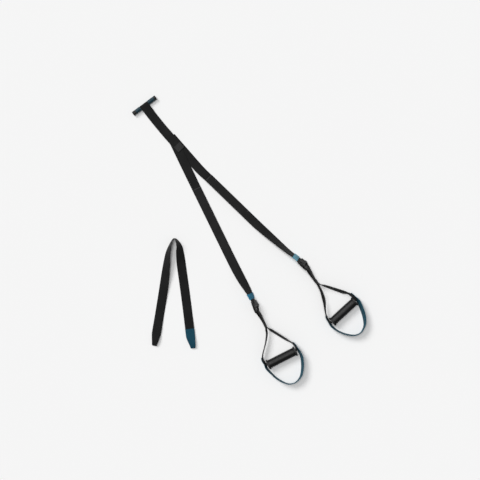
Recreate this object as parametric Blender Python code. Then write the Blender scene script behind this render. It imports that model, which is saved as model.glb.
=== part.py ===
"""A suspension trainer with its extension strap, laid out flat on the floor.

The door bar and its strap lead to a sewn junction, from which two adjustable legs run to cam buckles and
handles with foot loops. The extension strap lies beside it. Metres, +Z up, resting on Z = 0, with the
origin under the middle of the whole layout.
"""

import math
from dataclasses import dataclass

import bmesh
import bpy
from mathutils import Matrix, Vector

# Fits
SEAT = 0.0003  # between pieces that touch

# Webbing
WEBBING_WIDTH = 0.038
WEBBING_THICKNESS = 0.0018
YOKE_WIDTH = 0.025
LAYER = WEBBING_THICKNESS + SEAT  # one ply on another
HALF_PITCH = LAYER / 2
STRAP_STEP = 0.012  # between the stations of a straight strap
CURVE_STEP = 0.005  # and of a tightly curved one
TACK_THICKNESS = 0.0006

# Door bar
BAR_LENGTH = 0.118
BAR_RADIUS = 0.009
BAR_CORE_RADIUS = 0.0065
BAR_CAP_LENGTHS = (0.016, 0.009)  # the lower and the upper one
BAR_CAP_END = 0.003
BAR_CAP_ROUND = 0.0012
BAR_SLEEVE_CLEARANCE = 0.0006  # each side of the strap

# Anchor strap, measured from the bar's axis along the floor
BAR_PLACE = (-0.1459, 0.1705)  # from the junction's middle
ANCHOR_HEADING_AT_BAR = -53.5
ANCHOR_HEADING_AT_SEAM = -46.5
ANCHOR_LENGTH = 0.2395
ANCHOR_SEAM = 0.075  # the length that lies on the two legs
ANCHOR_EASE = 0.045  # over which it comes down from them
LOOP_EYE = 0.048  # from the bar's axis to where the loop is sewn
LOOP_RETURN = 0.085  # the length of the ply that returns underneath
LOOP_TACK_PLACE = 0.054
LOOP_TACK_LENGTH = 0.007
LOOP_TACK_WIDTH = 0.032

# Junction
PATCH_LENGTH = 0.028
PATCH_WIDTH = 0.032
PATCH_THICKNESS = 0.0009
STITCH_MARGIN = 0.003
STITCH_WIDTH = 0.0012

# Legs
SEAM_RUN = 0.159  # straight from the sewn end
BEND_RUN = 0.067
LAYER_RUN = 0.160  # over which the upper leg stays on the lower one
LAYER_EASE = 0.060
TAIL_START = 0.230  # where the loose end of the strap lies
TRAVEL = 0.240  # how far the buckle can be let out
PLY_OVERLAP = 0.035  # of the two plies when it is let out fully
KEEPER_EASE = 0.045
KEEPER_LENGTH = 0.024
KEEPER_WALL = 0.0012
KEEPER_CLEARANCE = 0.0009  # each side of the two plies

# Cam buckle, from its front end along the strap, with heights from between the plies
BUCKLE_INSIDE = WEBBING_WIDTH + 2 * SEAT
CHEEK_THICKNESS = 0.0027
CHEEK_OVERLAP = 0.0010  # of a cross member into each cheek
FRONT_BOSS_PLACE = 0.004
FRONT_BOSS_RADIUS = 0.0034
SHOULDER_PLACE = 0.038  # where the frame starts to narrow towards its rear bar
SHOULDER_RADIUS = 0.0042
PLATE_START = 0.014
PLATE_END = 0.034
PLATE_THICKNESS = 0.0025
REAR_PLATE_START = 0.0367  # a second plate between the strap's turn and the yoke
REAR_PLATE_END = 0.0440
PIN_PLACE = 0.025
PIN_HEIGHT = 0.0075
PIN_RADIUS = 0.0015
PIN_HEAD_RADIUS = 0.0027
PIN_HEAD_LENGTH = 0.0010
PIN_BOSS_RADIUS = 0.0034
REAR_BAR_PLACE = 0.050
REAR_BAR_RADIUS = 0.0025
REAR_BOSS_RADIUS = 0.0042
REAR_HALF_WIDTH = 0.0163  # from the middle to each arm, at the rear bar
PLY_RADIUS = PLATE_THICKNESS / 2 + SEAT + WEBBING_THICKNESS / 2
LEVER_HUB_RADIUS = 0.0034
LEVER_HUB_WIDTH = 0.027
LEVER_WIDTH = 0.034
LEVER_LENGTH = 0.0205
LEVER_ROOT = 0.0044
LEVER_ROOT_RADIUS = 0.0012
LEVER_NECK_RADIUS = 0.0026
LEVER_TIP_RADIUS = 0.0011
LEVER_RISE = 3.0  # degrees above the strap at rest
LEVER_TRAVEL = 20.0
NOSE_DEPTH = PIN_HEIGHT - PLY_RADIUS - WEBBING_THICKNESS / 2 - SEAT
NOSE_TEETH = 5
NOSE_START = 215.0  # where the nose starts to rise from the hub
NOSE_FRONT = 245.0  # degrees round the pin, between which the teeth lie
NOSE_REAR = 272.0
NOSE_FALL = 290.0  # where the nose has come down to the hub
TOOTH_DEPTH = 0.0003
SPRING_WIRE_RADIUS = 0.00035
SPRING_RADIUS = 0.0024
SPRING_PITCH = 0.0012
SPRING_TURNS = 3
SPRING_LEG = 0.005

# Handles: u runs along the grip and v from the grip towards the buckle
GRIP_BORE_RADIUS = 0.0130
GRIP_TUBE_RADIUS = 0.0142
GRIP_FOAM_RADIUS = 0.0172
GRIP_FLANGE_RADIUS = 0.0205
GRIP_LENGTH = 0.131
GRIP_CAP_LENGTH = 0.007
GRIP_CAP_LIP = 0.0017
STEM_REACH = 0.075  # from the buckle's rear bar to where the yoke parts
STEM_OPEN_SHARE = 0.20  # as far as this from the bar its plies stay apart
STEM_CLOSE_SHARE = 0.72  # where they lie together
STEM_PULL_SHARE = 0.8  # of its length: how strongly it keeps its first heading
STEM_STEPS = 12
STEM_TACK_SHARE = 0.8
STEM_TACK_LENGTH = 0.008
STEM_TACK_WIDTH = 0.019
YOKE_HALF_SPAN = 0.0722
YOKE_CORNER_RADIUS = 0.0090
APEX_ROOM_SHARE = 0.03  # of the half span: over which the lean changes from side to side
GRIP_ROOM_SHARE = 0.80  # as much more at the grip
OUTER_BRANCH_SHARES = (
    (0.175, 0.862), (0.366, 0.701), (0.530, 0.564), (0.695, 0.427), (0.775, 0.362), (0.848, 0.310),
    (0.925, 0.250), (0.972, 0.190),
)
INNER_BRANCH_SHARES = (
    (0.069, 0.920), (0.130, 0.815), (0.289, 0.660), (0.468, 0.520), (0.702, 0.380), (0.803, 0.310),
    (0.875, 0.260), (0.950, 0.180),
)
FOOT_WIDTH = 0.035
FOOT_HALF_WIDTH = 0.078
FOOT_RUN = 0.050  # how far from the grip its own lean takes to come in
FOOT_SEWN = 0.030  # the length of each end that lies on the yoke
FOOT_SHARES = (
    (0.980, 0.080), (0.954, 0.281), (0.860, 0.458), (0.726, 0.640), (0.559, 0.800), (0.367, 0.916),
    (0.040, 0.996), (-0.286, 0.955), (-0.477, 0.854), (-0.651, 0.707), (-0.801, 0.526),
    (-0.914, 0.318), (-0.980, 0.080),
)
FOOT_TACK_PLACE = 0.012
FOOT_TACK_LENGTH = 0.008
FOOT_TACK_WIDTH = 0.030

# Extension strap
EXTENSION_PLACE = (-0.0210, -0.3845)  # the top of its bend, from the junction's middle
EXTENSION_BEND = 0.070  # the length beside the bend that needs a finer step
BEND_STEP = 0.003
LEFT_HALF_LENGTH = 0.410  # from the bend to the end of the strap
LEFT_HALF_ROLL_RUN = 0.330  # from the bend, where it stands on edge, to where it lies flat
RIGHT_HALF_LENGTH = 0.4235
RIGHT_HALF_ROLL_RUN = 0.190
EYE_SEWN = 0.030
EYE_LENGTH = 0.082
EYE_WIDTH = 0.019
EYE_THICKNESS = 0.0030
EYE_RISE = 0.0125
RIGHT_EYE_SKEW = 0.005
EYE_SHARES = (
    (0.46, 0.55, 0.10), (0.58, 0.85, 0.30), (0.72, 1.0, 0.55), (0.92, 0.85, 0.88),
    (0.92, 0.15, 0.88), (0.72, 0, 0.55), (0.58, 0, 0.30), (0.46, 0, 0.10),
)
EYE_TACK_LENGTH = 0.006
EYE_TACK_WIDTH = 0.032

# Faces round a turned piece
WIRE_SIDES = 8
SMALL_SIDES = 16
LEVER_SIDES = 72
BAR_SIDES = 24
GRIP_SIDES = 32

# How the legs lie
RIGHT_START = (-0.0209, 0.0531)
RIGHT_LEG_LENGTH = 0.710
RIGHT_KEEPER_GAP = 0.007
RIGHT_TWIST_RUN = 0.215
RIGHT_YOKE_REACH = 0.158  # from the grip's axis to where the yoke parts
RIGHT_INNER_SLACK = -0.0015  # how much further out its inner branch bows
RIGHT_FOOT_ASIDES = (-0.003, -0.007)  # its foot loop's inner and outer side, towards the grip's outer end
RIGHT_FOOT_DEPTH = 0.114
LEFT_START = (-0.0117, 0.0405)
LEFT_LEG_LENGTH = 0.723
LEFT_KEEPER_GAP = 0.006
LEFT_TWIST_RUN = 0.210
LEFT_YOKE_REACH = 0.143
LEFT_INNER_SLACK = 0.0086
LEFT_FOOT_ASIDES = (0.003, 0.0015)
LEFT_FOOT_DEPTH = 0.118


@dataclass
class Side:
    """How one leg lies: headings are degrees anticlockwise from +X, rolls are degrees from flat."""

    name: str
    start: tuple
    layers: int
    leg_length: float
    keeper_gap: float
    seam_heading: float
    leg_heading: float
    keeper_heading: float
    buckle_heading: float
    stem_heading: float
    handle_heading: float
    swing: float
    flat_roll: float
    keeper_roll: float
    buckle_roll: float
    twist_run: float
    twist_power: float
    yoke_reach: float
    outer_leans: tuple
    inner_leans: tuple
    foot_leans: tuple
    foot_back: float
    inner_slack: float
    foot_asides: tuple
    foot_depth: float


SIDES = (
    Side(
        name="right", start=RIGHT_START, layers=0, leg_length=RIGHT_LEG_LENGTH, keeper_gap=RIGHT_KEEPER_GAP,
        seam_heading=-48.8, leg_heading=-44.1, keeper_heading=-37.0, buckle_heading=-43.0,
        stem_heading=-56.6, handle_heading=-47.3, swing=-20.0,
        flat_roll=22.0, keeper_roll=70.0, buckle_roll=63.0,
        twist_run=RIGHT_TWIST_RUN, twist_power=1.0, yoke_reach=RIGHT_YOKE_REACH,
        outer_leans=(
            (0.0, 20.0), (0.28, 20.5), (0.34, 32.0), (0.38, 35.0), (0.50, 33.0), (0.57, 32.5),
            (0.63, 29.0), (0.70, 28.0), (0.78, 24.5), (0.86, 19.0), (0.93, 2.0), (1.0, -24.0),
        ),
        inner_leans=(
            (0.0, -16.0), (0.28, -16.5), (0.38, -24.0), (0.44, -29.5), (0.52, -35.0), (0.59, -36.0),
            (0.66, -36.0), (0.74, -32.5), (0.82, -28.5), (0.92, -25.0), (1.0, -24.0),
        ),
        foot_leans=(23.0, -9.0), foot_back=4.5, inner_slack=RIGHT_INNER_SLACK,
        foot_asides=RIGHT_FOOT_ASIDES, foot_depth=RIGHT_FOOT_DEPTH,
    ),
    Side(
        name="left", start=LEFT_START, layers=1, leg_length=LEFT_LEG_LENGTH, keeper_gap=LEFT_KEEPER_GAP,
        seam_heading=-64.3, leg_heading=-64.0, keeper_heading=-74.0, buckle_heading=-69.5,
        stem_heading=-60.0, handle_heading=-63.0, swing=25.0,
        flat_roll=0.0, keeper_roll=64.0, buckle_roll=71.0,
        twist_run=LEFT_TWIST_RUN, twist_power=1.8, yoke_reach=LEFT_YOKE_REACH,
        outer_leans=(
            (0.0, 15.0), (0.31, 15.5), (0.37, 22.0), (0.43, 25.0), (0.57, 27.5),
            (0.70, 28.5), (0.78, 30.0), (0.86, 31.0), (0.93, 16.0), (1.0, -17.0),
        ),
        inner_leans=(
            (0.0, -13.0), (0.31, -13.5), (0.45, -13.5), (0.59, -15.0),
            (0.66, -17.5), (0.74, -19.5), (0.82, -22.0), (0.92, -20.0), (1.0, -17.0),
        ),
        foot_leans=(18.0, -9.0), foot_back=5.5, inner_slack=LEFT_INNER_SLACK,
        foot_asides=LEFT_FOOT_ASIDES, foot_depth=LEFT_FOOT_DEPTH,
    ),
)


@dataclass
class Half:
    """How one half of the extension strap lies, from its bend: a turn is a share of its length and a heading.

    The eye's tip lies this far to the side of the strap's own line.
    """

    length: float
    roll_run: float
    first_heading: float
    turn_shares: tuple
    eye_skew: float


LEFT_HALF = Half(
    length=LEFT_HALF_LENGTH, roll_run=LEFT_HALF_ROLL_RUN, first_heading=180.0, eye_skew=0.0,
    turn_shares=((0.024, 236.0), (0.107, 246.0), (0.073, 257.0), (0.195, 261.0), (0.601, 260.5)),
)
RIGHT_HALF = Half(
    length=RIGHT_HALF_LENGTH, roll_run=RIGHT_HALF_ROLL_RUN, first_heading=0.0, eye_skew=RIGHT_EYE_SKEW,
    turn_shares=((0.028, -42.0), (0.061, -58.0), (0.047, -76.0), (0.117, -81.5), (0.747, -83.5)),
)

UP = Vector((0, 0, 1))
COLOURS = {
    "black_webbing": ((0.016, 0.016, 0.017, 1), 0.85, 0.0),
    "blue_webbing": ((0.010, 0.075, 0.125, 1), 0.80, 0.0),
    "patch_webbing": ((0.040, 0.040, 0.041, 1), 0.85, 0.0),
    "thread": ((0.030, 0.030, 0.031, 1), 0.70, 0.0),
    "blue_plastic": ((0.014, 0.060, 0.095, 1), 0.45, 0.0),
    "black_plastic": ((0.020, 0.020, 0.021, 1), 0.50, 0.0),
    "black_metal": ((0.030, 0.030, 0.031, 1), 0.40, 1.0),
    "bright_steel": ((0.450, 0.450, 0.450, 1), 0.30, 1.0),
    "grip_foam": ((0.018, 0.018, 0.019, 1), 0.75, 0.0),
}


def material(name):
    """The material of this name, made the first time it is asked for."""
    found = bpy.data.materials.get(name)
    if found:
        return found
    made = bpy.data.materials.new(name)
    made.use_nodes = True
    colour, roughness, metallic = COLOURS[name]
    shader = made.node_tree.nodes["Principled BSDF"]
    shader.inputs["Base Color"].default_value = colour
    shader.inputs["Roughness"].default_value = roughness
    shader.inputs["Metallic"].default_value = metallic
    made.diffuse_color = colour
    return made


def clear_scene():
    for obj in list(bpy.data.objects):
        bpy.data.objects.remove(obj)


def add_object(name, data, axis=None):
    """An object in the scene that stays where its mesh says, carried by the empty on its joint."""
    obj = bpy.data.objects.new(name, data)
    bpy.context.scene.collection.objects.link(obj)
    if axis:
        obj.parent = axis
        obj.matrix_parent_inverse = axis.matrix_basis.inverted()
    return obj


def add_axis(name, matrix, axis=None):
    """An empty on a joint's axis, which carries the pieces that move with it."""
    empty = add_object(name, None, axis)
    empty.matrix_basis = matrix
    return empty


def finish(name, mesh, finish_name, axis=None, place=None):
    """Turns a bmesh into an object with its material, smooth where its faces nearly line up."""
    bmesh.ops.recalc_face_normals(mesh, faces=mesh.faces)
    data = bpy.data.meshes.new(name)
    mesh.to_mesh(data)
    mesh.free()
    data.materials.append(material(finish_name))
    data.shade_smooth()
    data.set_sharp_from_angle(angle=math.radians(35))
    obj = add_object(name, data, axis)
    if place:
        obj.matrix_basis = place
    return obj


def skin(mesh, rings, closed=False):
    """Joins rings of vertices with quads, and caps the two ends of an open run."""
    pairs = list(zip(rings, rings[1:]))
    if closed:
        pairs.append((rings[-1], rings[0]))
    for first, second in pairs:
        for i in range(len(first)):
            j = (i + 1) % len(first)
            mesh.faces.new((first[i], first[j], second[j], second[i]))
    if not closed:
        mesh.faces.new(rings[0][::-1])
        mesh.faces.new(rings[-1])


def directions(places, closed=False):
    """The unit direction of a path at each of its points."""
    last = len(places) - 1
    found = []
    for i in range(len(places)):
        if closed:
            before, after = places[i - 1], places[(i + 1) % len(places)]
        else:
            before, after = places[max(i - 1, 0)], places[min(i + 1, last)]
        found.append((after - before).normalized())
    return found


def band(name, path, width, thickness, finish_name, axis=None, closed=False):
    """A strap: its rectangular section carried along a path of (place, across) pairs.

    The width and the thickness are numbers, or lists with one for each pair.
    """
    widths = width if isinstance(width, list) else [width] * len(path)
    depths = thickness if isinstance(thickness, list) else [thickness] * len(path)
    mesh = bmesh.new()
    rings = []
    ways = directions([place for place, _ in path], closed)
    for (place, across), way, wide, deep in zip(path, ways, widths, depths):
        half = across * (wide / 2)
        rise = across.cross(way).normalized() * (deep / 2)
        corners = (place - half - rise, place + half - rise, place + half + rise, place - half + rise)
        rings.append([mesh.verts.new(corner) for corner in corners])
    skin(mesh, rings, closed)
    return finish(name, mesh, finish_name, axis)


def sleeve(name, path, inside, wall, finish_name, axis):
    """A flat loop round a strap: inside is its clear (width, height)."""
    mesh = bmesh.new()
    rings = []
    for (place, across), way in zip(path, directions([place for place, _ in path])):
        normal = across.cross(way).normalized()
        ring = []
        for grow in (0, wall):
            for x, y in ((-1, -1), (1, -1), (1, 1), (-1, 1)):
                reach = across * (x * (inside[0] / 2 + grow)) + normal * (y * (inside[1] / 2 + grow))
                ring.append(mesh.verts.new(place + reach))
        rings.append(ring)
    for first, second in zip(rings, rings[1:]):
        for i in range(4):
            j = (i + 1) % 4
            mesh.faces.new((first[i], first[j], second[j], second[i]))
            mesh.faces.new((first[4 + i], first[4 + j], second[4 + j], second[4 + i]))
    for ring in (rings[0], rings[-1]):
        for i in range(4):
            j = (i + 1) % 4
            mesh.faces.new((ring[i], ring[j], ring[4 + j], ring[4 + i]))
    return finish(name, mesh, finish_name, axis)


def turned(name, profile, sides, finish_name, axis, place):
    """A piece turned round its own X: the profile is a closed outline of (x, radius) points."""
    mesh = bmesh.new()
    rings = []
    for i in range(sides):
        turn = math.tau * i / sides
        rings.append([(x, r * math.cos(turn), r * math.sin(turn)) for x, r in profile])
    points = []
    for ring in rings:
        points.append([])
        for (x, y, z), (_, radius) in zip(ring, profile):
            on_axis = radius == 0 and points[:-1]
            points[-1].append(points[0][len(points[-1])] if on_axis else mesh.verts.new((x, y, z)))
    for i in range(sides):
        first, second = points[i], points[(i + 1) % sides]
        for j in range(len(profile)):
            k = (j + 1) % len(profile)
            corners = [first[j], first[k], second[k], second[j]]
            corners = [c for n, c in enumerate(corners) if c not in corners[:n]]
            if len(corners) > 2:
                mesh.faces.new(corners)
    return finish(name, mesh, finish_name, axis, place)


def prism(name, outline, width, finish_name, axis=None, place=None, middle=0.0):
    """An outline in local Y and Z, carried along X by its width."""
    mesh = bmesh.new()
    rings = []
    for x in (middle - width / 2, middle + width / 2):
        rings.append([mesh.verts.new((x, y, z)) for y, z in outline])
    skin(mesh, rings)
    return finish(name, mesh, finish_name, axis, place)


def combine(obj, helper, operation):
    """A Boolean of the object with a helper, which is left out of the model."""
    helper.hide_render = True
    helper.display_type = "WIRE"
    modifier = obj.modifiers.new(helper.name, "BOOLEAN")
    modifier.operation = operation
    modifier.object = helper


def arc(centre, radius, start, end, steps):
    """Points on an arc about the centre, with angles in degrees."""
    points = []
    for i in range(steps + 1):
        angle = math.radians(start + (end - start) * i / steps)
        points.append((centre[0] + radius * math.cos(angle), centre[1] + radius * math.sin(angle)))
    return points


def hull(circles, sides=SMALL_SIDES):
    """The outline drawn tight round some circles of (y, z, radius)."""
    points = []
    for y, z, radius in circles:
        points += arc((y, z), radius, 0, 360 - 360 / sides, sides - 1)
    points = sorted(set(points))
    halves = []
    for run in (points, points[::-1]):
        chain = []
        for p in run:
            while len(chain) > 1 and turns_right(chain[-2], chain[-1], p):
                chain.pop()
            chain.append(p)
        halves += chain[:-1]
    return halves


def turns_right(a, b, c):
    return (b[0] - a[0]) * (c[1] - a[1]) - (b[1] - a[1]) * (c[0] - a[0]) <= 0


def heading(degrees):
    return Vector((math.cos(math.radians(degrees)), math.sin(math.radians(degrees)), 0))


def right_of(way):
    return Vector((way.y, -way.x, 0)).normalized()


def ease(value, start, end):
    """Rises smoothly from 0 at the start to 1 at the end."""
    share = min(max((value - start) / (end - start), 0), 1)
    return share * share * (3 - 2 * share)


def between(table, share):
    """The value at this share in a table of (share, value) pairs."""
    for (first, low), (second, high) in zip(table, table[1:]):
        if share <= second:
            return low + (high - low) * (share - first) / (second - first)
    return table[-1][1]


def spline(points, step):
    """Points about a step apart on a smooth curve through the given ones."""
    ends = [points[0] * 2 - points[1]] + list(points) + [points[-1] * 2 - points[-2]]
    found = []
    for a, b, c, d in zip(ends, ends[1:], ends[2:], ends[3:]):
        pieces = max(1, round((c - b).length / step))
        for i in range(pieces):
            t = i / pieces
            pull = (c - a) * t + (a * 2 - b * 5 + c * 4 - d) * t**2 + (b * 3 - a - c * 3 + d) * t**3
            found.append(b + pull / 2)
    found.append(points[-1])
    return found


def spread(start, end, step):
    """Values from the start to the end, no more than a step apart."""
    count = max(1, math.ceil(abs(end - start) / step))
    return [start + (end - start) * i / count for i in range(count + 1)]


class Trail:
    """A route on the floor: from a start and a heading, each run turns steadily to its own heading."""

    STEPS = 60  # to a run

    def __init__(self, start, first_heading, runs):
        self.marks = [0.0]
        self.places = [Vector((start[0], start[1], 0))]
        self.headings = [first_heading]
        for length, last_heading in runs:
            begin = self.headings[-1]
            stride = length / self.STEPS
            for i in range(self.STEPS):
                middle = begin + (last_heading - begin) * (i + 1 / 2) / self.STEPS
                self.places.append(self.places[-1] + heading(middle) * stride)
                self.marks.append(self.marks[-1] + stride)
                self.headings.append(begin + (last_heading - begin) * (i + 1) / self.STEPS)

    def at(self, mark):
        """The place and the direction at this distance along the route."""
        i = max(0, min(len(self.marks) - 2, sum(m <= mark for m in self.marks) - 1))
        share = (mark - self.marks[i]) / (self.marks[i + 1] - self.marks[i])
        turn = self.headings[i] + (self.headings[i + 1] - self.headings[i]) * min(max(share, 0), 1)
        return self.places[i].lerp(self.places[i + 1], share), heading(turn)


class Leg:
    """The lie of one leg: the lower edge of its strap follows a trail, and the strap rolls about it."""

    def __init__(self, side):
        self.side = side
        self.keeper_start = side.leg_length
        self.keeper_middle = self.keeper_start + KEEPER_LENGTH / 2
        self.buckle_front = self.keeper_start + KEEPER_LENGTH + side.keeper_gap
        self.plate_end = self.buckle_front + PLATE_END - PLATE_THICKNESS / 2
        self.rear_bar = self.buckle_front + REAR_BAR_PLACE
        self.split = TAIL_START + TRAVEL + PLY_OVERLAP
        straight = side.leg_length - KEEPER_EASE - SEAM_RUN - BEND_RUN
        runs = (
            (SEAM_RUN, side.seam_heading),
            (BEND_RUN, side.leg_heading),
            (straight, side.leg_heading),
            (KEEPER_EASE + KEEPER_LENGTH / 2, side.keeper_heading),
            (self.buckle_front - self.keeper_middle, side.buckle_heading),
            (REAR_BAR_PLACE + REAR_BOSS_RADIUS, side.buckle_heading),
        )
        self.trail = Trail(side.start, side.seam_heading, runs)

    def roll(self, mark):
        """Degrees from flat of the two plies that move with the buckle."""
        side = self.side
        share = min(max(1 - (self.keeper_middle - mark) / side.twist_run, 0), 1)
        twist = side.flat_roll + (side.keeper_roll - side.flat_roll) * share**side.twist_power
        return twist + (side.buckle_roll - twist) * ease(mark, self.keeper_middle, self.buckle_front)

    def clearance(self, mark):
        """How far the lower edge is held off the floor by the keeper and the buckle."""
        roll = math.radians(self.side.keeper_roll)
        keeper = (KEEPER_WALL + KEEPER_CLEARANCE) * (math.sin(roll) + math.cos(roll))
        roll = math.radians(self.side.buckle_roll)
        buckle = (BUCKLE_INSIDE / 2 + CHEEK_THICKNESS - WEBBING_WIDTH / 2) * math.sin(roll)
        buckle += (REAR_BOSS_RADIUS - WEBBING_THICKNESS - SEAT / 2) * math.cos(roll)
        rise = ease(mark, self.keeper_start - KEEPER_EASE, self.keeper_start)
        return keeper * rise + (buckle - keeper) * ease(mark, self.keeper_middle, self.buckle_front)

    def frame(self, mark, roll=None):
        """The middle between the two plies, with the directions along, across and square to them."""
        place, along = self.trail.at(mark)
        angle = math.radians(self.roll(mark) if roll is None else roll)
        across = right_of(along) * math.cos(angle) + UP * math.sin(angle)
        normal = across.cross(along)
        middle = place + across * (WEBBING_WIDTH / 2) + normal * (WEBBING_THICKNESS + SEAT / 2)
        return middle + UP * self.clearance(mark), along, across, normal

    def half_pitch(self, mark):
        """From the middle to each ply, which part to go round the buckle's plate."""
        opening = ease(mark, self.buckle_front - KEEPER_EASE / 4, self.buckle_front + PLATE_START)
        return HALF_PITCH + (PLY_RADIUS - HALF_PITCH) * opening

    def ply(self, mark, face):
        """A point of the upper ply, where the face is 1, or of the lower one, where it is -1."""
        middle, _, across, normal = self.frame(mark)
        return middle + normal * (face * self.half_pitch(mark)), across

    def buckle_matrix(self):
        """The buckle's own frame: X across, Y along the strap and Z out of its face."""
        middle, along, across, normal = self.frame(self.buckle_front)
        return place_matrix(middle, across, along, normal)


def place_matrix(place, x, y, z):
    """The frame at a place with these directions for its X, Y and Z."""
    return Matrix.LocRotScale(place, Matrix((x, y, z)).transposed(), None)


def make_door_bar(trail):
    """The bar that stays behind the door: a core, two sleeves and two end caps that spin in the strap."""
    place, along = trail.at(0)
    side = right_of(along)
    here = place_matrix(place + UP * BAR_RADIUS, side, along, side.cross(along))
    axis = add_axis("anchor_bar_axis", here)
    inner = BAR_CORE_RADIUS + SEAT
    end = BAR_LENGTH / 2
    cap_bottom = end - BAR_CAP_END
    core_end = cap_bottom - SEAT
    core = [(-core_end, 0), (core_end, 0), (core_end, BAR_CORE_RADIUS), (-core_end, BAR_CORE_RADIUS)]
    turned("anchor_bar_core", core, BAR_SIDES, "black_metal", axis, here)
    start = WEBBING_WIDTH / 2 + BAR_SLEEVE_CLEARANCE
    for name, sign, cap_length in (("lower", -1, BAR_CAP_LENGTHS[0]), ("upper", 1, BAR_CAP_LENGTHS[1])):
        cap_mouth = end - cap_length
        stop = cap_mouth - SEAT
        tube = [(start, inner), (stop, inner), (stop, BAR_RADIUS), (start, BAR_RADIUS)]
        cap = [
            (cap_mouth, inner), (cap_bottom, inner), (cap_bottom, 0), (end, 0),
            (end, BAR_RADIUS - BAR_CAP_ROUND), (end - BAR_CAP_ROUND, BAR_RADIUS), (cap_mouth, BAR_RADIUS),
        ]
        mirrored = [(-sign * x, r) for x, r in tube]
        turned(f"anchor_bar_sleeve_{name}", mirrored, BAR_SIDES, "blue_plastic", axis, here)
        mirrored = [(-sign * x, r) for x, r in cap]
        turned(f"anchor_bar_cap_{name}", mirrored, BAR_SIDES, "black_plastic", axis, here)


def anchor_height(mark):
    """How high the middle of the anchor strap's upper ply lies."""
    seam_start = ANCHOR_LENGTH - ANCHOR_SEAM
    seam = 2 * LAYER * ease(mark, seam_start - ANCHOR_EASE, seam_start)
    loop = LAYER * (1 - ease(mark, LOOP_RETURN + STRAP_STEP, LOOP_RETURN + ANCHOR_EASE))
    return WEBBING_THICKNESS / 2 + seam + loop


def anchor_path(trail):
    """From the seam to the bar, round its core and back underneath."""
    radius = BAR_CORE_RADIUS + SEAT + WEBBING_THICKNESS / 2
    lower_height = WEBBING_THICKNESS / 2
    turns = []
    for height, sign in ((anchor_height(LOOP_EYE), 1), (lower_height, -1)):
        drop = height - BAR_RADIUS
        tangent = math.acos(radius / math.hypot(LOOP_EYE, drop))
        turns.append(math.degrees(math.atan2(drop, LOOP_EYE) + sign * tangent))
    profile = [(mark, anchor_height(mark)) for mark in spread(ANCHOR_LENGTH, LOOP_EYE, STRAP_STEP)]
    profile += arc((0, BAR_RADIUS), radius, turns[0], 360 + turns[1], SMALL_SIDES)
    profile += [(mark, lower_height) for mark in spread(LOOP_EYE, LOOP_RETURN, STRAP_STEP)]
    path = []
    for mark, height in profile:
        place, along = trail.at(mark)
        path.append((place + UP * height, right_of(along)))
    return path


def flat_path(trail, start, end, height):
    """A flat run on the trail, with its middle at this height."""
    path = []
    for mark in spread(start, end, CURVE_STEP):
        place, along = trail.at(mark)
        path.append((place + UP * height, right_of(along)))
    return path


def make_anchor(trail):
    """The anchor strap with its sewn loop, and the patch and stitching over the junction."""
    band("anchor_strap", anchor_path(trail), WEBBING_WIDTH, WEBBING_THICKNESS, "black_webbing")
    top = LAYER + WEBBING_THICKNESS + SEAT + TACK_THICKNESS / 2
    tack = flat_path(trail, LOOP_TACK_PLACE, LOOP_TACK_PLACE + LOOP_TACK_LENGTH, top)
    band("anchor_loop_stitching", tack, LOOP_TACK_WIDTH, TACK_THICKNESS, "thread")
    patch_start = ANCHOR_LENGTH - PATCH_LENGTH
    patch_middle = 3 * LAYER + PATCH_THICKNESS / 2
    patch = flat_path(trail, patch_start, ANCHOR_LENGTH, patch_middle)
    band("junction_patch", patch, PATCH_WIDTH, PATCH_THICKNESS, "patch_webbing")
    place, along = trail.at(patch_start + PATCH_LENGTH / 2)
    side = right_of(along)
    middle = place + UP * (patch_middle + PATCH_THICKNESS / 2 + SEAT + TACK_THICKNESS / 2)
    here = place_matrix(middle, UP, side, along)
    half_width = PATCH_WIDTH / 2 - STITCH_MARGIN
    half_length = PATCH_LENGTH / 2 - STITCH_MARGIN
    corners = [(-half_width, -half_length), (half_width, -half_length)]
    corners += [(half_width, half_length), (-half_width, half_length)]
    outlines = [corners] + cross_holes(half_width, half_length)
    plate("junction_stitching", outlines, TACK_THICKNESS, "thread", here)


def cross_holes(half_width, half_length):
    """The four openings between the sides of a sewn box and the cross in it."""
    holes = []
    for reach, half in ((half_width, half_length), (half_length, half_width)):
        tip = STITCH_WIDTH / 2 / math.sin(math.atan2(half, reach))
        base = reach - STITCH_WIDTH
        spread_out = (base - tip) * half / reach
        for sign in (-1, 1):
            hole = [(sign * tip, 0), (sign * base, spread_out), (sign * base, -spread_out)]
            holes.append([(y, x) for x, y in hole] if len(holes) > 1 else hole)
    return holes


def plate(name, outlines, thickness, finish_name, place):
    """A flat plate across local X: the first outline is its edge and the others are holes."""
    mesh = bmesh.new()
    for outline in outlines:
        points = [mesh.verts.new((-thickness / 2, y, z)) for y, z in outline]
        for first, second in zip(points, points[1:] + points[:1]):
            mesh.edges.new((first, second))
    bmesh.ops.triangle_fill(mesh, use_beauty=True, edges=mesh.edges[:])
    raised = bmesh.ops.extrude_face_region(mesh, geom=mesh.faces[:])["geom"]
    raised = [piece for piece in raised if isinstance(piece, bmesh.types.BMVert)]
    bmesh.ops.translate(mesh, vec=(thickness, 0, 0), verts=raised)
    return finish(name, mesh, finish_name, None, place)


def make_leg_strap(leg):
    """The ply that is sewn in at the junction and runs down to where the sliding plies take over."""
    path = []
    for mark in spread(0, leg.split, STRAP_STEP):
        roll = leg.roll(mark) * ease(mark, LAYER_RUN, TAIL_START)
        level = leg.side.layers * LAYER * (1 - ease(mark, LAYER_RUN, LAYER_RUN + LAYER_EASE))
        middle, _, across, normal = leg.frame(mark, roll)
        path.append((middle - normal * HALF_PITCH + UP * level, across))
    band(f"{leg.side.name}_leg_strap", path, WEBBING_WIDTH, WEBBING_THICKNESS, "black_webbing")


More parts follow.
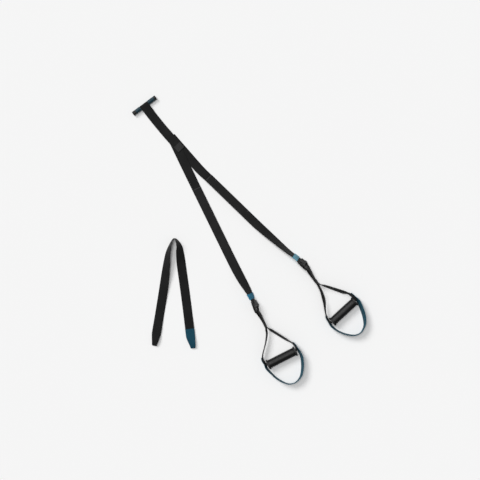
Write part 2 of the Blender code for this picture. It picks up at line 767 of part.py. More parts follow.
def make_strap_tail(leg, axis):
    """The loose end of the strap: over the leg, through the buckle, round its plate and back underneath."""
    fine_start = leg.keeper_start - KEEPER_EASE
    marks = spread(TAIL_START, leg.split, STRAP_STEP) + spread(leg.split, fine_start, STRAP_STEP)[1:]
    marks += spread(fine_start, leg.plate_end, CURVE_STEP)[1:]
    path = [leg.ply(mark, 1) for mark in marks]
    middle, along, across, normal = leg.frame(leg.plate_end)
    for y, z in arc((0, 0), PLY_RADIUS, 90, -90, SMALL_SIDES // 2)[1:-1]:
        path.append((middle + along * y + normal * z, across))
    back = [mark for mark in reversed(marks) if mark > leg.split + SEAT]
    path += [leg.ply(mark, -1) for mark in back + [leg.split + SEAT]]
    band(f"{leg.side.name}_strap_tail", path, WEBBING_WIDTH, WEBBING_THICKNESS, "black_webbing", axis)


def make_keeper(leg, axis):
    """The blue loop that holds the two plies together above the buckle."""
    path = []
    for mark in spread(leg.keeper_start, leg.keeper_start + KEEPER_LENGTH, CURVE_STEP):
        middle, _, across, _ = leg.frame(mark)
        path.append((middle, across))
    plies = LAYER + WEBBING_THICKNESS
    inside = (WEBBING_WIDTH + 2 * KEEPER_CLEARANCE, plies + 2 * KEEPER_CLEARANCE)
    sleeve(f"{leg.side.name}_strap_keeper", path, inside, KEEPER_WALL, "blue_webbing", axis)


def rod(name, y, z, radius, width, axis, place):
    """A round rod across the buckle, at this place in its side view."""
    return prism(name, hull(((y, z, radius),)), width, "black_metal", axis, place)


def make_buckle(leg, axis):
    """The cam buckle: its frame with the plate that the strap goes round, its pin, lever and spring."""
    name = leg.side.name
    here = leg.buckle_matrix()
    outline = hull((
        (FRONT_BOSS_PLACE, 0, FRONT_BOSS_RADIUS),
        (PIN_PLACE, PIN_HEIGHT, PIN_BOSS_RADIUS),
        (SHOULDER_PLACE, 0, SHOULDER_RADIUS),
    ))
    outside = BUCKLE_INSIDE / 2 + CHEEK_THICKNESS
    cheek_middle = outside - CHEEK_THICKNESS / 2
    crossing = BUCKLE_INSIDE + 2 * CHEEK_OVERLAP
    edge = PLATE_THICKNESS / 2
    plate_outline = hull(((PLATE_START + edge, 0, edge), (PLATE_END - edge, 0, edge)))
    frame = prism(f"{name}_buckle_frame", outline, CHEEK_THICKNESS, "black_metal", axis, here, cheek_middle)
    far = prism(f"{name}_far_cheek", outline, CHEEK_THICKNESS, "black_metal", axis, here, -cheek_middle)
    middle = prism(f"{name}_cam_plate", plate_outline, crossing, "black_metal", axis, here)
    rear_outline = hull(((REAR_PLATE_START + edge, 0, edge), (REAR_PLATE_END - edge, 0, edge)))
    rear = prism(f"{name}_rear_plate", rear_outline, BUCKLE_INSIDE + 2 * SEAT, "black_metal", axis, here)
    bar = rod(f"{name}_rear_bar", REAR_BAR_PLACE, 0, REAR_BAR_RADIUS, 2 * REAR_HALF_WIDTH, axis, here)
    holes = rod(f"{name}_pin_holes", PIN_PLACE, PIN_HEIGHT, PIN_RADIUS + SEAT, 3 * outside, axis, here)
    combine(frame, middle, "UNION")
    combine(frame, rear, "UNION")
    combine(frame, far, "UNION")
    narrowing = cheek_middle - REAR_HALF_WIDTH
    run = REAR_BAR_PLACE - SHOULDER_PLACE
    arm_outline = hull(((0, 0, SHOULDER_RADIUS), (math.hypot(run, narrowing), 0, REAR_BOSS_RADIUS)))
    for label, sign in (("near", 1), ("far", -1)):
        turn = Matrix.Rotation(sign * math.atan2(narrowing, run), 4, "Z")
        there = here @ Matrix.Translation((sign * cheek_middle, SHOULDER_PLACE, 0)) @ turn
        arm = prism(f"{name}_{label}_arm", arm_outline, CHEEK_THICKNESS - SEAT, "black_metal", axis, there)
        combine(frame, arm, "UNION")
    combine(frame, bar, "UNION")
    combine(frame, holes, "DIFFERENCE")
    pin_place = here @ Matrix.Translation((0, PIN_PLACE, PIN_HEIGHT))
    make_pin(name, axis, pin_place, outside)
    make_spring(name, axis, pin_place)
    make_lever(name, add_axis(f"{name}_cam_axis", pin_place, axis), pin_place)


def make_pin(name, axis, place, outside):
    """The riveted pin through both cheeks, on which the cam turns."""
    seat = outside + SEAT
    end = seat + PIN_HEAD_LENGTH
    profile = [
        (-end, 0), (end, 0), (end, PIN_HEAD_RADIUS), (seat, PIN_HEAD_RADIUS), (seat, PIN_RADIUS),
        (-seat, PIN_RADIUS), (-seat, PIN_HEAD_RADIUS), (-end, PIN_HEAD_RADIUS),
    ]
    turned(f"{name}_cam_pin", profile, SMALL_SIDES, "bright_steel", axis, place)


def nose_radius(degrees):
    """The cam's reach from its pin, which grows towards the strap's loose end so that a pull locks it."""
    if not NOSE_START < degrees < NOSE_FALL:
        return LEVER_HUB_RADIUS
    reach = NOSE_DEPTH / abs(math.sin(math.radians(degrees)))
    share = ease(degrees, NOSE_FALL, NOSE_REAR) * ease(degrees, NOSE_START, NOSE_FRONT)
    if NOSE_FRONT <= degrees <= NOSE_REAR:
        phase = NOSE_TEETH * (degrees - NOSE_FRONT) / (NOSE_REAR - NOSE_FRONT)
        reach -= TOOTH_DEPTH * abs(2 * (phase % 1) - 1)
    return LEVER_HUB_RADIUS + (reach - LEVER_HUB_RADIUS) * share


def make_lever(name, axis, place):
    """The cam with its toothed nose, and the thumb tab that opens it."""
    outline = []
    for degrees in spread(0, 360, 360 / LEVER_SIDES)[:-1]:
        radius = nose_radius(degrees)
        angle = math.radians(degrees)
        outline.append((radius * math.cos(angle), radius * math.sin(angle)))
    rise = math.radians(180 - LEVER_RISE)
    root, tip = ((reach * math.cos(rise), reach * math.sin(rise)) for reach in (LEVER_ROOT, LEVER_LENGTH))
    neck = hull(((0, 0, LEVER_NECK_RADIUS), (*root, LEVER_ROOT_RADIUS)))
    tab = hull(((*root, LEVER_ROOT_RADIUS), (*tip, LEVER_TIP_RADIUS)))
    bore = hull(((0, 0, PIN_RADIUS + SEAT),))
    lever = prism(f"{name}_cam_lever", outline, LEVER_HUB_WIDTH, "black_plastic", axis, place)
    inner = prism(f"{name}_lever_neck", neck, LEVER_HUB_WIDTH - SEAT, "black_plastic", axis, place)
    outer = prism(f"{name}_lever_tab", tab, LEVER_WIDTH, "black_plastic", axis, place)
    hole = prism(f"{name}_lever_bore", bore, 2 * LEVER_WIDTH, "black_plastic", axis, place)
    combine(lever, inner, "UNION")
    combine(lever, outer, "UNION")
    combine(lever, hole, "DIFFERENCE")


def make_spring(name, axis, place):
    """The wire spring beside the cam, round its pin, with one leg towards the front."""
    start = LEVER_HUB_WIDTH / 2 + 2 * SEAT + SPRING_WIRE_RADIUS
    points = []
    steps = SPRING_TURNS * SMALL_SIDES
    for i in range(steps + 1):
        turn = math.tau * i / SMALL_SIDES
        x = start + SPRING_PITCH * i / SMALL_SIDES
        points.append(Vector((x, -SPRING_RADIUS * math.sin(turn), SPRING_RADIUS * math.cos(turn))))
    points.append(points[-1] - Vector((0, SPRING_LEG, 0)))
    mesh = bmesh.new()
    rings = []
    for point, way in zip(points, directions(points)):
        first = (Vector((1, 0, 0)) - way * way.x).normalized()
        second = way.cross(first)
        ring = arc((0, 0), SPRING_WIRE_RADIUS, 0, 360 - 360 / WIRE_SIDES, WIRE_SIDES - 1)
        rings.append([mesh.verts.new(point + first * x + second * y) for x, y in ring])
    skin(mesh, rings)
    finish(f"{name}_cam_spring", mesh, "bright_steel", axis, place)


class Handle:
    """The lie of one handle: its stem leaves the buckle's rear bar and parts into the yoke's two branches."""

    def __init__(self, leg):
        side = leg.side
        self.name = side.name
        here = leg.buckle_matrix()
        self.bar = here @ Vector((0, REAR_BAR_PLACE, 0))
        self.bar_across, along, normal = here.to_3x3().transposed()
        swing = math.radians(side.swing)
        self.leaving = along * math.cos(swing) + normal * math.sin(swing)
        self.down = heading(side.handle_heading)
        self.outward = UP.cross(self.down)
        self.apex = self.bar + heading(side.stem_heading) * STEM_REACH
        self.apex.z = GRIP_FLANGE_RADIUS
        self.reach = side.yoke_reach
        self.leans = (side.outer_leans, side.inner_leans)
        self.foot_leans = side.foot_leans
        self.foot_back = side.foot_back
        self.inner_slack = side.inner_slack
        self.foot_asides = side.foot_asides
        self.foot_depth = side.foot_depth
        self.grip = self.apex + self.down * self.reach

    def leaning(self, place, way):
        """Across a strap that stands on edge here: its upper edge leans away from the handle's middle."""
        reach = place - self.grip
        sideways = reach.dot(self.outward) / YOKE_HALF_SPAN
        below = reach.dot(self.down)
        share = max(-below / self.reach, 0)
        low = ease(below, 0, FOOT_RUN)
        outer, inner = (
            between(leans, share) + (foot - leans[0][1]) * low for leans, foot in zip(self.leans, self.foot_leans)
        )
        room = APEX_ROOM_SHARE + GRIP_ROOM_SHARE * (1 - share)
        lean = inner + (outer - inner) * ease(sideways, -room, room)
        across = UP * math.cos(math.radians(lean)) + self.outward * math.sin(math.radians(lean))
        across -= self.down * math.sin(math.radians(self.foot_back * low))
        return (across - way * across.dot(way)).normalized()

    def stem(self, share):
        """The middle of the stem at this share of its length, and its directions as in a leg's frame."""
        start_pull = self.leaving * (STEM_REACH * STEM_PULL_SHARE)
        end_pull = self.down * STEM_REACH
        t = share
        middle = (
            self.bar * (1 - 3 * t**2 + 2 * t**3) + start_pull * (t - 2 * t**2 + t**3)
            + self.apex * (3 * t**2 - 2 * t**3) + end_pull * (t**3 - t**2)
        )
        way = (self.bar - self.apex) * (6 * t**2 - 6 * t)
        way = (way + start_pull * (1 - 4 * t + 3 * t**2) + end_pull * (3 * t**2 - 2 * t)).normalized()
        across = self.bar_across.lerp(self.leaning(self.apex, self.down), ease(t, 0, 1))
        across = (across - way * across.dot(way)).normalized()
        return middle, way, across, across.cross(way)

    def stem_ply(self, share, face, lift=0):
        """A point of one of the stem's plies, which part again to go round the bar."""
        middle, _, across, normal = self.stem(share)
        wrap = REAR_BAR_RADIUS + SEAT + WEBBING_THICKNESS / 2
        pitch = HALF_PITCH + (wrap - HALF_PITCH) * (1 - ease(share, STEM_OPEN_SHARE, STEM_CLOSE_SHARE))
        return middle + normal * (face * (pitch + lift)), across

    def at(self, u, v, level=0):
        """A place in the handle: u along the grip, v towards the buckle, level up from the grip's axis."""
        return self.grip + self.outward * u - self.down * v + UP * level

    def wrap(self):
        """Round the bar, from the stem's lower ply to its upper one."""
        _, way, across, normal = self.stem(0)
        radius = REAR_BAR_RADIUS + SEAT + WEBBING_THICKNESS / 2
        turns = arc((0, 0), radius, 270, 90, SMALL_SIDES)[1:-1]
        return [(self.bar + way * y + normal * z, across) for y, z in turns]

    def branch(self, face):
        """The branch of the yoke on this side, from where it parts to the start of its corner."""
        shares = OUTER_BRANCH_SHARES if face > 0 else INNER_BRANCH_SHARES
        points = [self.stem_ply(1, face)[0]]
        for u, v in shares:
            slack = self.inner_slack * ease(v, 0, 0.3) * ease(v, 0.9, 0.4) if face < 0 else 0
            points.append(self.at(face * (u * YOKE_HALF_SPAN + slack), v * self.reach))
        points.append(self.at(face * YOKE_HALF_SPAN, YOKE_CORNER_RADIUS))
        return spline(points, STRAP_STEP)

    def corner(self, face):
        """From the branch into the grip."""
        centre = YOKE_HALF_SPAN - YOKE_CORNER_RADIUS
        turns = arc((centre, YOKE_CORNER_RADIUS), YOKE_CORNER_RADIUS, 0, -90, SMALL_SIDES // 2)
        return [self.at(face * u, v) for u, v in turns[1:]]

    def through(self):
        """Along the grip's bore, from its outer end to its inner one."""
        end = YOKE_HALF_SPAN - YOKE_CORNER_RADIUS
        return [self.at(u, 0) for u in spread(-end, end, STRAP_STEP)[-2:0:-1]]

    def yoke_path(self):
        """The whole closed ribbon, from where it parts, through the grip, back and round the bar."""
        run = self.branch(1) + self.corner(1) + self.through()
        run += (self.branch(-1) + self.corner(-1))[::-1]
        path = [(place, self.leaning(place, way)) for place, way in zip(run, directions(run))]
        shares = spread(0, 1, 1 / STEM_STEPS)
        path += [self.stem_ply(share, -1) for share in shares[-2::-1]]
        path += self.wrap()
        path += [self.stem_ply(share, 1) for share in shares[:-1]]
        return path

    def foot_path(self):
        """The foot loop, from the end that is sewn to the outer branch round to the inner one."""
        ends = []
        for face in (1, -1):
            branch = self.branch(face)
            ways = directions(branch)
            length = 0
            end = []
            for i in range(len(branch) - 1, 0, -1):
                across = self.leaning(branch[i], ways[i])
                place = branch[i] + across.cross(ways[i]) * (face * LAYER)
                end.append(place + across * ((self.foot_height(across) - place.z) / across.z))
                length += (branch[i] - branch[i - 1]).length
                if length > FOOT_SEWN:
                    break
            ends.append(end)
        bottom = []
        for u, v in FOOT_SHARES:
            aside = self.foot_asides[u > 0] * ease(v, 0, 0.35)
            bottom.append(self.at(u * FOOT_HALF_WIDTH + aside, -v * self.foot_depth))
        run = spline(ends[0][::-1] + bottom + ends[1], STRAP_STEP)
        path = []
        for place, way in zip(run, directions(run)):
            level = Vector((way.x, way.y, 0)).normalized()
            across = self.leaning(place, level)
            path.append((Vector((place.x, place.y, self.foot_height(across))), across))
        return path

    def foot_height(self, across):
        """The height of the foot loop's middle where its lower edge rests on the floor."""
        tilt = math.sqrt(max(1 - across.z**2, 0))
        return FOOT_WIDTH / 2 * across.z + WEBBING_THICKNESS / 2 * tilt


def outer_skin(path, start, length, lift, side):
    """A short run on one face of a strap, for a row of stitching: from this length along its path."""
    places = [place for place, _ in path]
    ways = directions(places)
    passed = 0
    found = []
    for i in range(1, len(path)):
        step = (places[i] - places[i - 1]).length
        for mark in spread(start, start + length, CURVE_STEP / 2):
            share = (mark - passed) / step
            if 0 <= share < 1:
                across = path[i - 1][1].lerp(path[i][1], share).normalized()
                way = ways[i - 1].lerp(ways[i], share)
                middle = places[i - 1].lerp(places[i], share)
                found.append((middle + across.cross(way).normalized() * (lift * side), across))
        passed += step
    return found


def make_handle(leg, slide):
    """The handle that hangs on the buckle's rear bar: yoke, foot loop, and a grip that turns on the yoke."""
    name = leg.side.name
    handle = Handle(leg)
    _, way, across, normal = handle.stem(0)
    axis = add_axis(f"{name}_handle_axis", place_matrix(handle.bar, across, way, normal), slide)
    yoke = handle.yoke_path()
    band(f"{name}_yoke", yoke, YOKE_WIDTH, WEBBING_THICKNESS, "black_webbing", axis, True)
    lift = WEBBING_THICKNESS / 2 + SEAT + TACK_THICKNESS / 2
    half = STEM_TACK_LENGTH / STEM_REACH / 2
    tack = []
    for share in spread(STEM_TACK_SHARE - half, STEM_TACK_SHARE + half, half):
        tack.append(handle.stem_ply(share, 1, lift))
    band(f"{name}_yoke_stitching", tack, STEM_TACK_WIDTH, TACK_THICKNESS, "thread", axis)
    foot = handle.foot_path()
    band(f"{name}_foot_loop", foot, FOOT_WIDTH, WEBBING_THICKNESS, "blue_webbing", axis)
    for label, run in (("outer", foot), ("inner", foot[::-1])):
        side = 1 if label == "outer" else -1
        tack = outer_skin(run, FOOT_TACK_PLACE, FOOT_TACK_LENGTH, lift, side)
        band(f"{name}_foot_stitching_{label}", tack, FOOT_TACK_WIDTH, TACK_THICKNESS, "thread", axis)
    make_grip(name, handle, axis)


def make_grip(name, handle, axis):
    """The foam grip on its tube, with a flanged cap at each end."""
    here = place_matrix(handle.grip, handle.outward, -handle.down, handle.outward.cross(-handle.down))
    grip = add_axis(f"{name}_grip_axis", here, axis)
    end = GRIP_LENGTH / 2
    lip = end - GRIP_CAP_LIP
    mouth = end - GRIP_CAP_LENGTH
    sleeve_radius = GRIP_TUBE_RADIUS + SEAT
    pieces = (
        ("grip_tube", lip - SEAT, GRIP_BORE_RADIUS, GRIP_TUBE_RADIUS, "black_plastic"),
        ("grip_foam", mouth - SEAT, sleeve_radius, GRIP_FOAM_RADIUS, "grip_foam"),
    )
    for label, half, inner, outer, finish_name in pieces:
        profile = [(-half, inner), (half, inner), (half, outer), (-half, outer)]
        turned(f"{name}_{label}", profile, GRIP_SIDES, finish_name, grip, here)
    cap = [
        (mouth, sleeve_radius), (lip, sleeve_radius), (lip, GRIP_BORE_RADIUS), (end, GRIP_BORE_RADIUS),
        (end, GRIP_FLANGE_RADIUS), (mouth, GRIP_FLANGE_RADIUS),
    ]
    for label, sign in (("outer", 1), ("inner", -1)):
        mirrored = [(sign * x, r) for x, r in cap]
        turned(f"{name}_grip_cap_{label}", mirrored, GRIP_SIDES, "black_plastic", grip, here)


class Extension:
    """The lie of the loose extension strap: it stands on edge at its bend and lies flat at its ends."""

    def __init__(self):
        self.halves = {-1: LEFT_HALF, 1: RIGHT_HALF}
        self.trails = {}
        for sign, half in self.halves.items():
            runs = [(share * half.length, degrees) for share, degrees in half.turn_shares]
            self.trails[sign] = Trail(EXTENSION_PLACE, half.first_heading, runs)

    def frame(self, mark):
        """The strap's middle and directions, from the bend: marks to the left are below zero."""
        sign = -1 if mark < 0 else 1
        half = self.halves[sign]
        place, along = self.trails[sign].at(abs(mark))
        along = along * sign
        flat = min(abs(mark) / half.roll_run, 1)
        roll = math.radians(90 * (1 - flat) ** 2)
        across = right_of(along) * math.cos(roll) + UP * math.sin(roll)
        normal = across.cross(along)
        seam = half.length - EYE_SEWN
        level = LAYER * ease(abs(mark), seam - LAYER_EASE, seam)
        middle = place + across * (WEBBING_WIDTH / 2) + normal * (WEBBING_THICKNESS / 2)
        return middle + UP * level, along, across

    def path(self):
        """From the left end round the bend to the right end."""
        marks = []
        for sign in (-1, 1):
            length = self.halves[sign].length
            run = spread(0, EXTENSION_BEND, BEND_STEP) + spread(EXTENSION_BEND, length, STRAP_STEP)[1:]
            marks = [-mark for mark in reversed(run[1:])] if sign < 0 else marks + run
        found = []
        for mark in marks:
            middle, _, across = self.frame(mark)
            found.append((middle, across))
        return found

    def eye_place(self, sign, reach, height):
        """A place over the end of the strap: reach is from where its eye begins, height is off the floor."""
        mark = sign * (self.halves[sign].length - EYE_SEWN)
        middle, along, across = self.frame(mark)
        outward = along * sign
        aside = self.halves[sign].eye_skew * ease(reach, EYE_SEWN, EYE_LENGTH)
        place = Vector((middle.x, middle.y, height)) + Vector((outward.x, outward.y, 0)) * reach
        place -= right_of(outward) * aside
        return place, Vector((across.x, across.y, 0)).normalized()


def eye_profile():
    """The side view of a sewn eye, from its upper to its lower end, with how narrow it is at each point."""
    upper = 2 * LAYER + WEBBING_THICKNESS / 2
    lower = WEBBING_THICKNESS / 2
    floor = EYE_THICKNESS / 2
    tip = EYE_LENGTH - floor
    top = EYE_RISE - floor
    shoulders = [Vector((EYE_LENGTH * x, floor + (top - floor) * z, share)) for x, z, share in EYE_SHARES]
    points = [Vector((EYE_SEWN + SEAT, upper, 0))] + shoulders[:4]
    points += [Vector((tip, (top + floor) / 2, 1))] + shoulders[4:]
    points += [Vector((EYE_SEWN + SEAT, lower, 0))]
    middle = spline(points, CURVE_STEP / 2)
    flat = spread(0, EYE_SEWN + SEAT, CURVE_STEP)[:-1]
    start = [Vector((x, upper, 0)) for x in flat]
    end = [Vector((x, lower, 0)) for x in reversed(flat)]
    return start + middle + end


def make_extension():
    """The loose strap that hangs the trainer from something higher, with a sewn eye at each end."""
    lie = Extension()
    axis = add_axis("extension_axis", Matrix.Translation((*EXTENSION_PLACE, 0)))
    band("extension_strap", lie.path(), WEBBING_WIDTH, WEBBING_THICKNESS, "black_webbing", axis)
    profile = eye_profile()
    shares = [min(max(point.z, 0), 1) for point in profile]
    widths = [WEBBING_WIDTH + (EYE_WIDTH - WEBBING_WIDTH) * share for share in shares]
    depths = [WEBBING_THICKNESS + (EYE_THICKNESS - WEBBING_THICKNESS) * share for share in shares]
    for label, sign, finish_name in (("left", -1, "black_webbing"), ("right", 1, "blue_webbing")):
        path = [lie.eye_place(sign, point.x, point.y) for point in profile]
        band(f"extension_eye_{label}", path, widths, depths, finish_name, axis)
        top = 3 * LAYER + TACK_THICKNESS / 2
        start = EYE_SEWN / 2 - EYE_TACK_LENGTH / 2
        reaches = spread(start, start + EYE_TACK_LENGTH, CURVE_STEP)
        tack = [lie.eye_place(sign, reach, top) for reach in reaches]
        band(f"extension_stitching_{label}", tack, EYE_TACK_WIDTH, TACK_THICKNESS, "thread", axis)


def settle():
    """Moves the whole layout so that it stands on Z = 0 with its middle over the origin."""
    layout = bpy.data.objects.new("layout", None)
    bpy.context.scene.collection.objects.link(layout)
    bpy.context.view_layer.update()
    corners = []
    for obj in bpy.context.scene.objects:
        if obj.type == "MESH" and not obj.hide_render:
            corners += [obj.matrix_world @ vertex.co for vertex in obj.data.vertices]
        if obj != layout and not obj.parent:
            obj.parent = layout
    lows = Vector([min(corner[i] for corner in corners) for i in range(3)])
    highs = Vector([max(corner[i] for corner in corners) for i in range(3)])
    middle = (lows + highs) / 2
    layout.location = (-middle.x, -middle.y, -lows.z)


def main():
    clear_scene()
    trail = Trail(BAR_PLACE, ANCHOR_HEADING_AT_BAR, ((ANCHOR_LENGTH, ANCHOR_HEADING_AT_SEAM),))
    make_door_bar(trail)
    make_anchor(trail)
    for side in SIDES:
        leg = Leg(side)
        slide = add_axis(f"{side.name}_slide_axis", leg.buckle_matrix())
        make_leg_strap(leg)
        make_strap_tail(leg, slide)
        make_keeper(leg, slide)
        make_buckle(leg, slide)
        make_handle(leg, slide)
    make_extension()
    settle()


main()
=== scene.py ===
"""The looks of a suspension trainer with its extension strap, laid out flat and seen from above.

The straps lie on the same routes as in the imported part, as woven webbing with rounded edges and stitching.
Metres, +Z up.
"""

import math
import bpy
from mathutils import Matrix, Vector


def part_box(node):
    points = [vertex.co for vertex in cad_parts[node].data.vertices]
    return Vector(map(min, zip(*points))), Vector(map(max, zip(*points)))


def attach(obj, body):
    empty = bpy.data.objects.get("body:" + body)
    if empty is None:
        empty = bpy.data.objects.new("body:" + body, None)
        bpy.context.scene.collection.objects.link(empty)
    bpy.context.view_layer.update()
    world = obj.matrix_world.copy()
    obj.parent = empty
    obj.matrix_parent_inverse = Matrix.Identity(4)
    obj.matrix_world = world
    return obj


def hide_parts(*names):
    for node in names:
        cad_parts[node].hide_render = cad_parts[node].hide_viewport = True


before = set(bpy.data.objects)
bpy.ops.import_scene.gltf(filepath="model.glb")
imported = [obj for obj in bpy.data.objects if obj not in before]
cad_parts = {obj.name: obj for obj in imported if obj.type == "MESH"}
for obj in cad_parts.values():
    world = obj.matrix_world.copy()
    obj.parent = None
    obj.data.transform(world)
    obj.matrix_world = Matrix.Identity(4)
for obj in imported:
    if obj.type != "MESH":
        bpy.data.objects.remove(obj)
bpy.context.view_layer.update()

from types import SimpleNamespace

import bmesh
import bpy
from mathutils import Vector

# Fits
SEAT = 0.0003  # between pieces that touch

# Webbing
WEBBING_WIDTH = 0.038
WEBBING_THICKNESS = 0.0018
YOKE_WIDTH = 0.025
LAYER = WEBBING_THICKNESS + SEAT  # one ply on another
HALF_PITCH = LAYER / 2
STRAP_STEP = 0.006  # between the stations of a straight strap
CURVE_STEP = 0.0025  # and of a tightly curved one

# Door bar
BAR_RADIUS = 0.009
BAR_CORE_RADIUS = 0.0065

# Anchor strap, measured from the bar's axis along the floor
BAR_PLACE = (-0.1459, 0.1705)  # from the junction's middle
ANCHOR_HEADING_AT_BAR = -53.5
ANCHOR_HEADING_AT_SEAM = -46.5
ANCHOR_LENGTH = 0.2395
ANCHOR_SEAM = 0.075  # the length that lies on the two legs
ANCHOR_EASE = 0.045  # over which it comes down from them
LOOP_EYE = 0.048  # from the bar's axis to where the loop is sewn
LOOP_RETURN = 0.085  # the length of the ply that returns underneath
LOOP_TACK_PLACE = 0.054
LOOP_TACK_LENGTH = 0.007
LOOP_TACK_WIDTH = 0.032
LOOP_ROWS = 4  # of stitches

# Junction
PATCH_LENGTH = 0.028
PATCH_WIDTH = 0.032
PATCH_THICKNESS = 0.0009
STITCH_MARGIN = 0.003

# Legs
SEAM_RUN = 0.159  # straight from the sewn end
BEND_RUN = 0.067
LAYER_RUN = 0.160  # over which the upper leg stays on the lower one
LAYER_EASE = 0.060
TAIL_START = 0.230  # where the loose end of the strap lies
TRAVEL = 0.240  # how far the buckle can be let out
PLY_OVERLAP = 0.035  # of the two plies when it is let out fully
KEEPER_EASE = 0.045
PARTING_RUN = KEEPER_EASE / 4  # before the buckle, where the plies start to part
KEEPER_LENGTH = 0.024
KEEPER_WALL = 0.0012
KEEPER_CLEARANCE = 0.0009  # each side of the two plies

# Cam buckle, from its front end along the strap
BUCKLE_INSIDE = WEBBING_WIDTH + 2 * SEAT
CHEEK_THICKNESS = 0.0027
PLATE_START = 0.014
PLATE_END = 0.034
PLATE_THICKNESS = 0.0025
REAR_PLATE_END = 0.0440  # of a second plate between the strap's turn and the yoke
REAR_LIP = 0.0014  # past its end, towards the yoke
REAR_LIP_THICKNESS = 0.0008
REAR_BAR_PLACE = 0.050
REAR_BAR_RADIUS = 0.0025
REAR_BOSS_RADIUS = 0.0042
PLY_RADIUS = PLATE_THICKNESS / 2 + SEAT + WEBBING_THICKNESS / 2  # of the turn round the plate
WRAP_RADIUS = REAR_BAR_RADIUS + SEAT + WEBBING_THICKNESS / 2  # of the turn round the rear bar

# Handles: u runs along the grip and v from the grip towards the buckle
GRIP_TUBE_RADIUS = 0.0142
GRIP_FOAM_RADIUS = 0.0172
GRIP_FLANGE_RADIUS = 0.0205
GRIP_LENGTH = 0.131
GRIP_CAP_LENGTH = 0.007
GRIP_SIDES = 64
GRIP_STATIONS = 40
GRIP_EDGE = 0.0015  # over which each end of the foam is rounded
GRIP_EDGE_DROP = 0.0005
GRIP_SWELL = 0.00035
STEM_REACH = 0.075  # from the buckle's rear bar to where the yoke parts
STEM_OPEN_SHARE = 0.20  # as far as this from the bar its plies stay apart
STEM_CLOSE_SHARE = 0.72  # where they lie together
STEM_PULL_SHARE = 0.8  # of its length: how strongly it keeps its first heading
STEM_STEPS = 12
STEM_TACK_SHARE = 0.8
STEM_TACK_LENGTH = 0.008
STEM_TACK_WIDTH = 0.019
YOKE_HALF_SPAN = 0.0722
YOKE_CORNER_RADIUS = 0.0090
SLACK_SHARES = (0.3, 0.4)  # of the yoke's reach: between these the slack is whole
SLACK_END_SHARE = 0.9  # where it is gone again
APEX_ROOM_SHARE = 0.03  # of the half span: over which the lean changes from side to side
GRIP_ROOM_SHARE = 0.80  # as much more at the grip
OUTER_BRANCH_SHARES = (
    (0.175, 0.862), (0.366, 0.701), (0.530, 0.564), (0.695, 0.427), (0.775, 0.362), (0.848, 0.310),
    (0.925, 0.250), (0.972, 0.190),
)
INNER_BRANCH_SHARES = (
    (0.069, 0.920), (0.130, 0.815), (0.289, 0.660), (0.468, 0.520), (0.702, 0.380), (0.803, 0.310),
    (0.875, 0.260), (0.950, 0.180),
)
FOOT_WIDTH = 0.035
FOOT_HALF_WIDTH = 0.078
FOOT_RUN = 0.050  # how far from the grip its own lean takes to come in
FOOT_SEWN = 0.030  # the length of each end that lies on the yoke
FOOT_SHARES = (
    (0.980, 0.080), (0.954, 0.281), (0.860, 0.458), (0.726, 0.640), (0.559, 0.800), (0.367, 0.916),
    (0.040, 0.996), (-0.286, 0.955), (-0.477, 0.854), (-0.651, 0.707), (-0.801, 0.526),
    (-0.914, 0.318), (-0.980, 0.080),
)
FOOT_ASIDE_SHARE = 0.35  # of its depth: from here on it lies fully aside
FOOT_TACK_PLACE = 0.012
FOOT_TACK_LENGTH = 0.008
FOOT_TACK_WIDTH = 0.030

# Extension strap
EXTENSION_PLACE = (-0.0210, -0.3845)  # the top of its bend, from the junction's middle
EXTENSION_BEND = 0.070  # the length beside the bend that needs a finer step
BEND_STEP = 0.003
EYE_SEWN = 0.030
EYE_LENGTH = 0.082
EYE_WIDTH = 0.019
EYE_THICKNESS = 0.0030
EYE_RISE = 0.0125
EYE_SHARES = (
    (0.46, 0.55, 0.10), (0.58, 0.85, 0.30), (0.72, 1.0, 0.55), (0.92, 0.85, 0.88),
    (0.92, 0.15, 0.88), (0.72, 0, 0.55), (0.58, 0, 0.30), (0.46, 0, 0.10),
)
EYE_TACK_WIDTH = 0.032
EYE_STITCH_MARGIN = EYE_SEWN / 6

ARC_STEPS = 24  # of a strap round a bar, and half as many round a plate or a corner

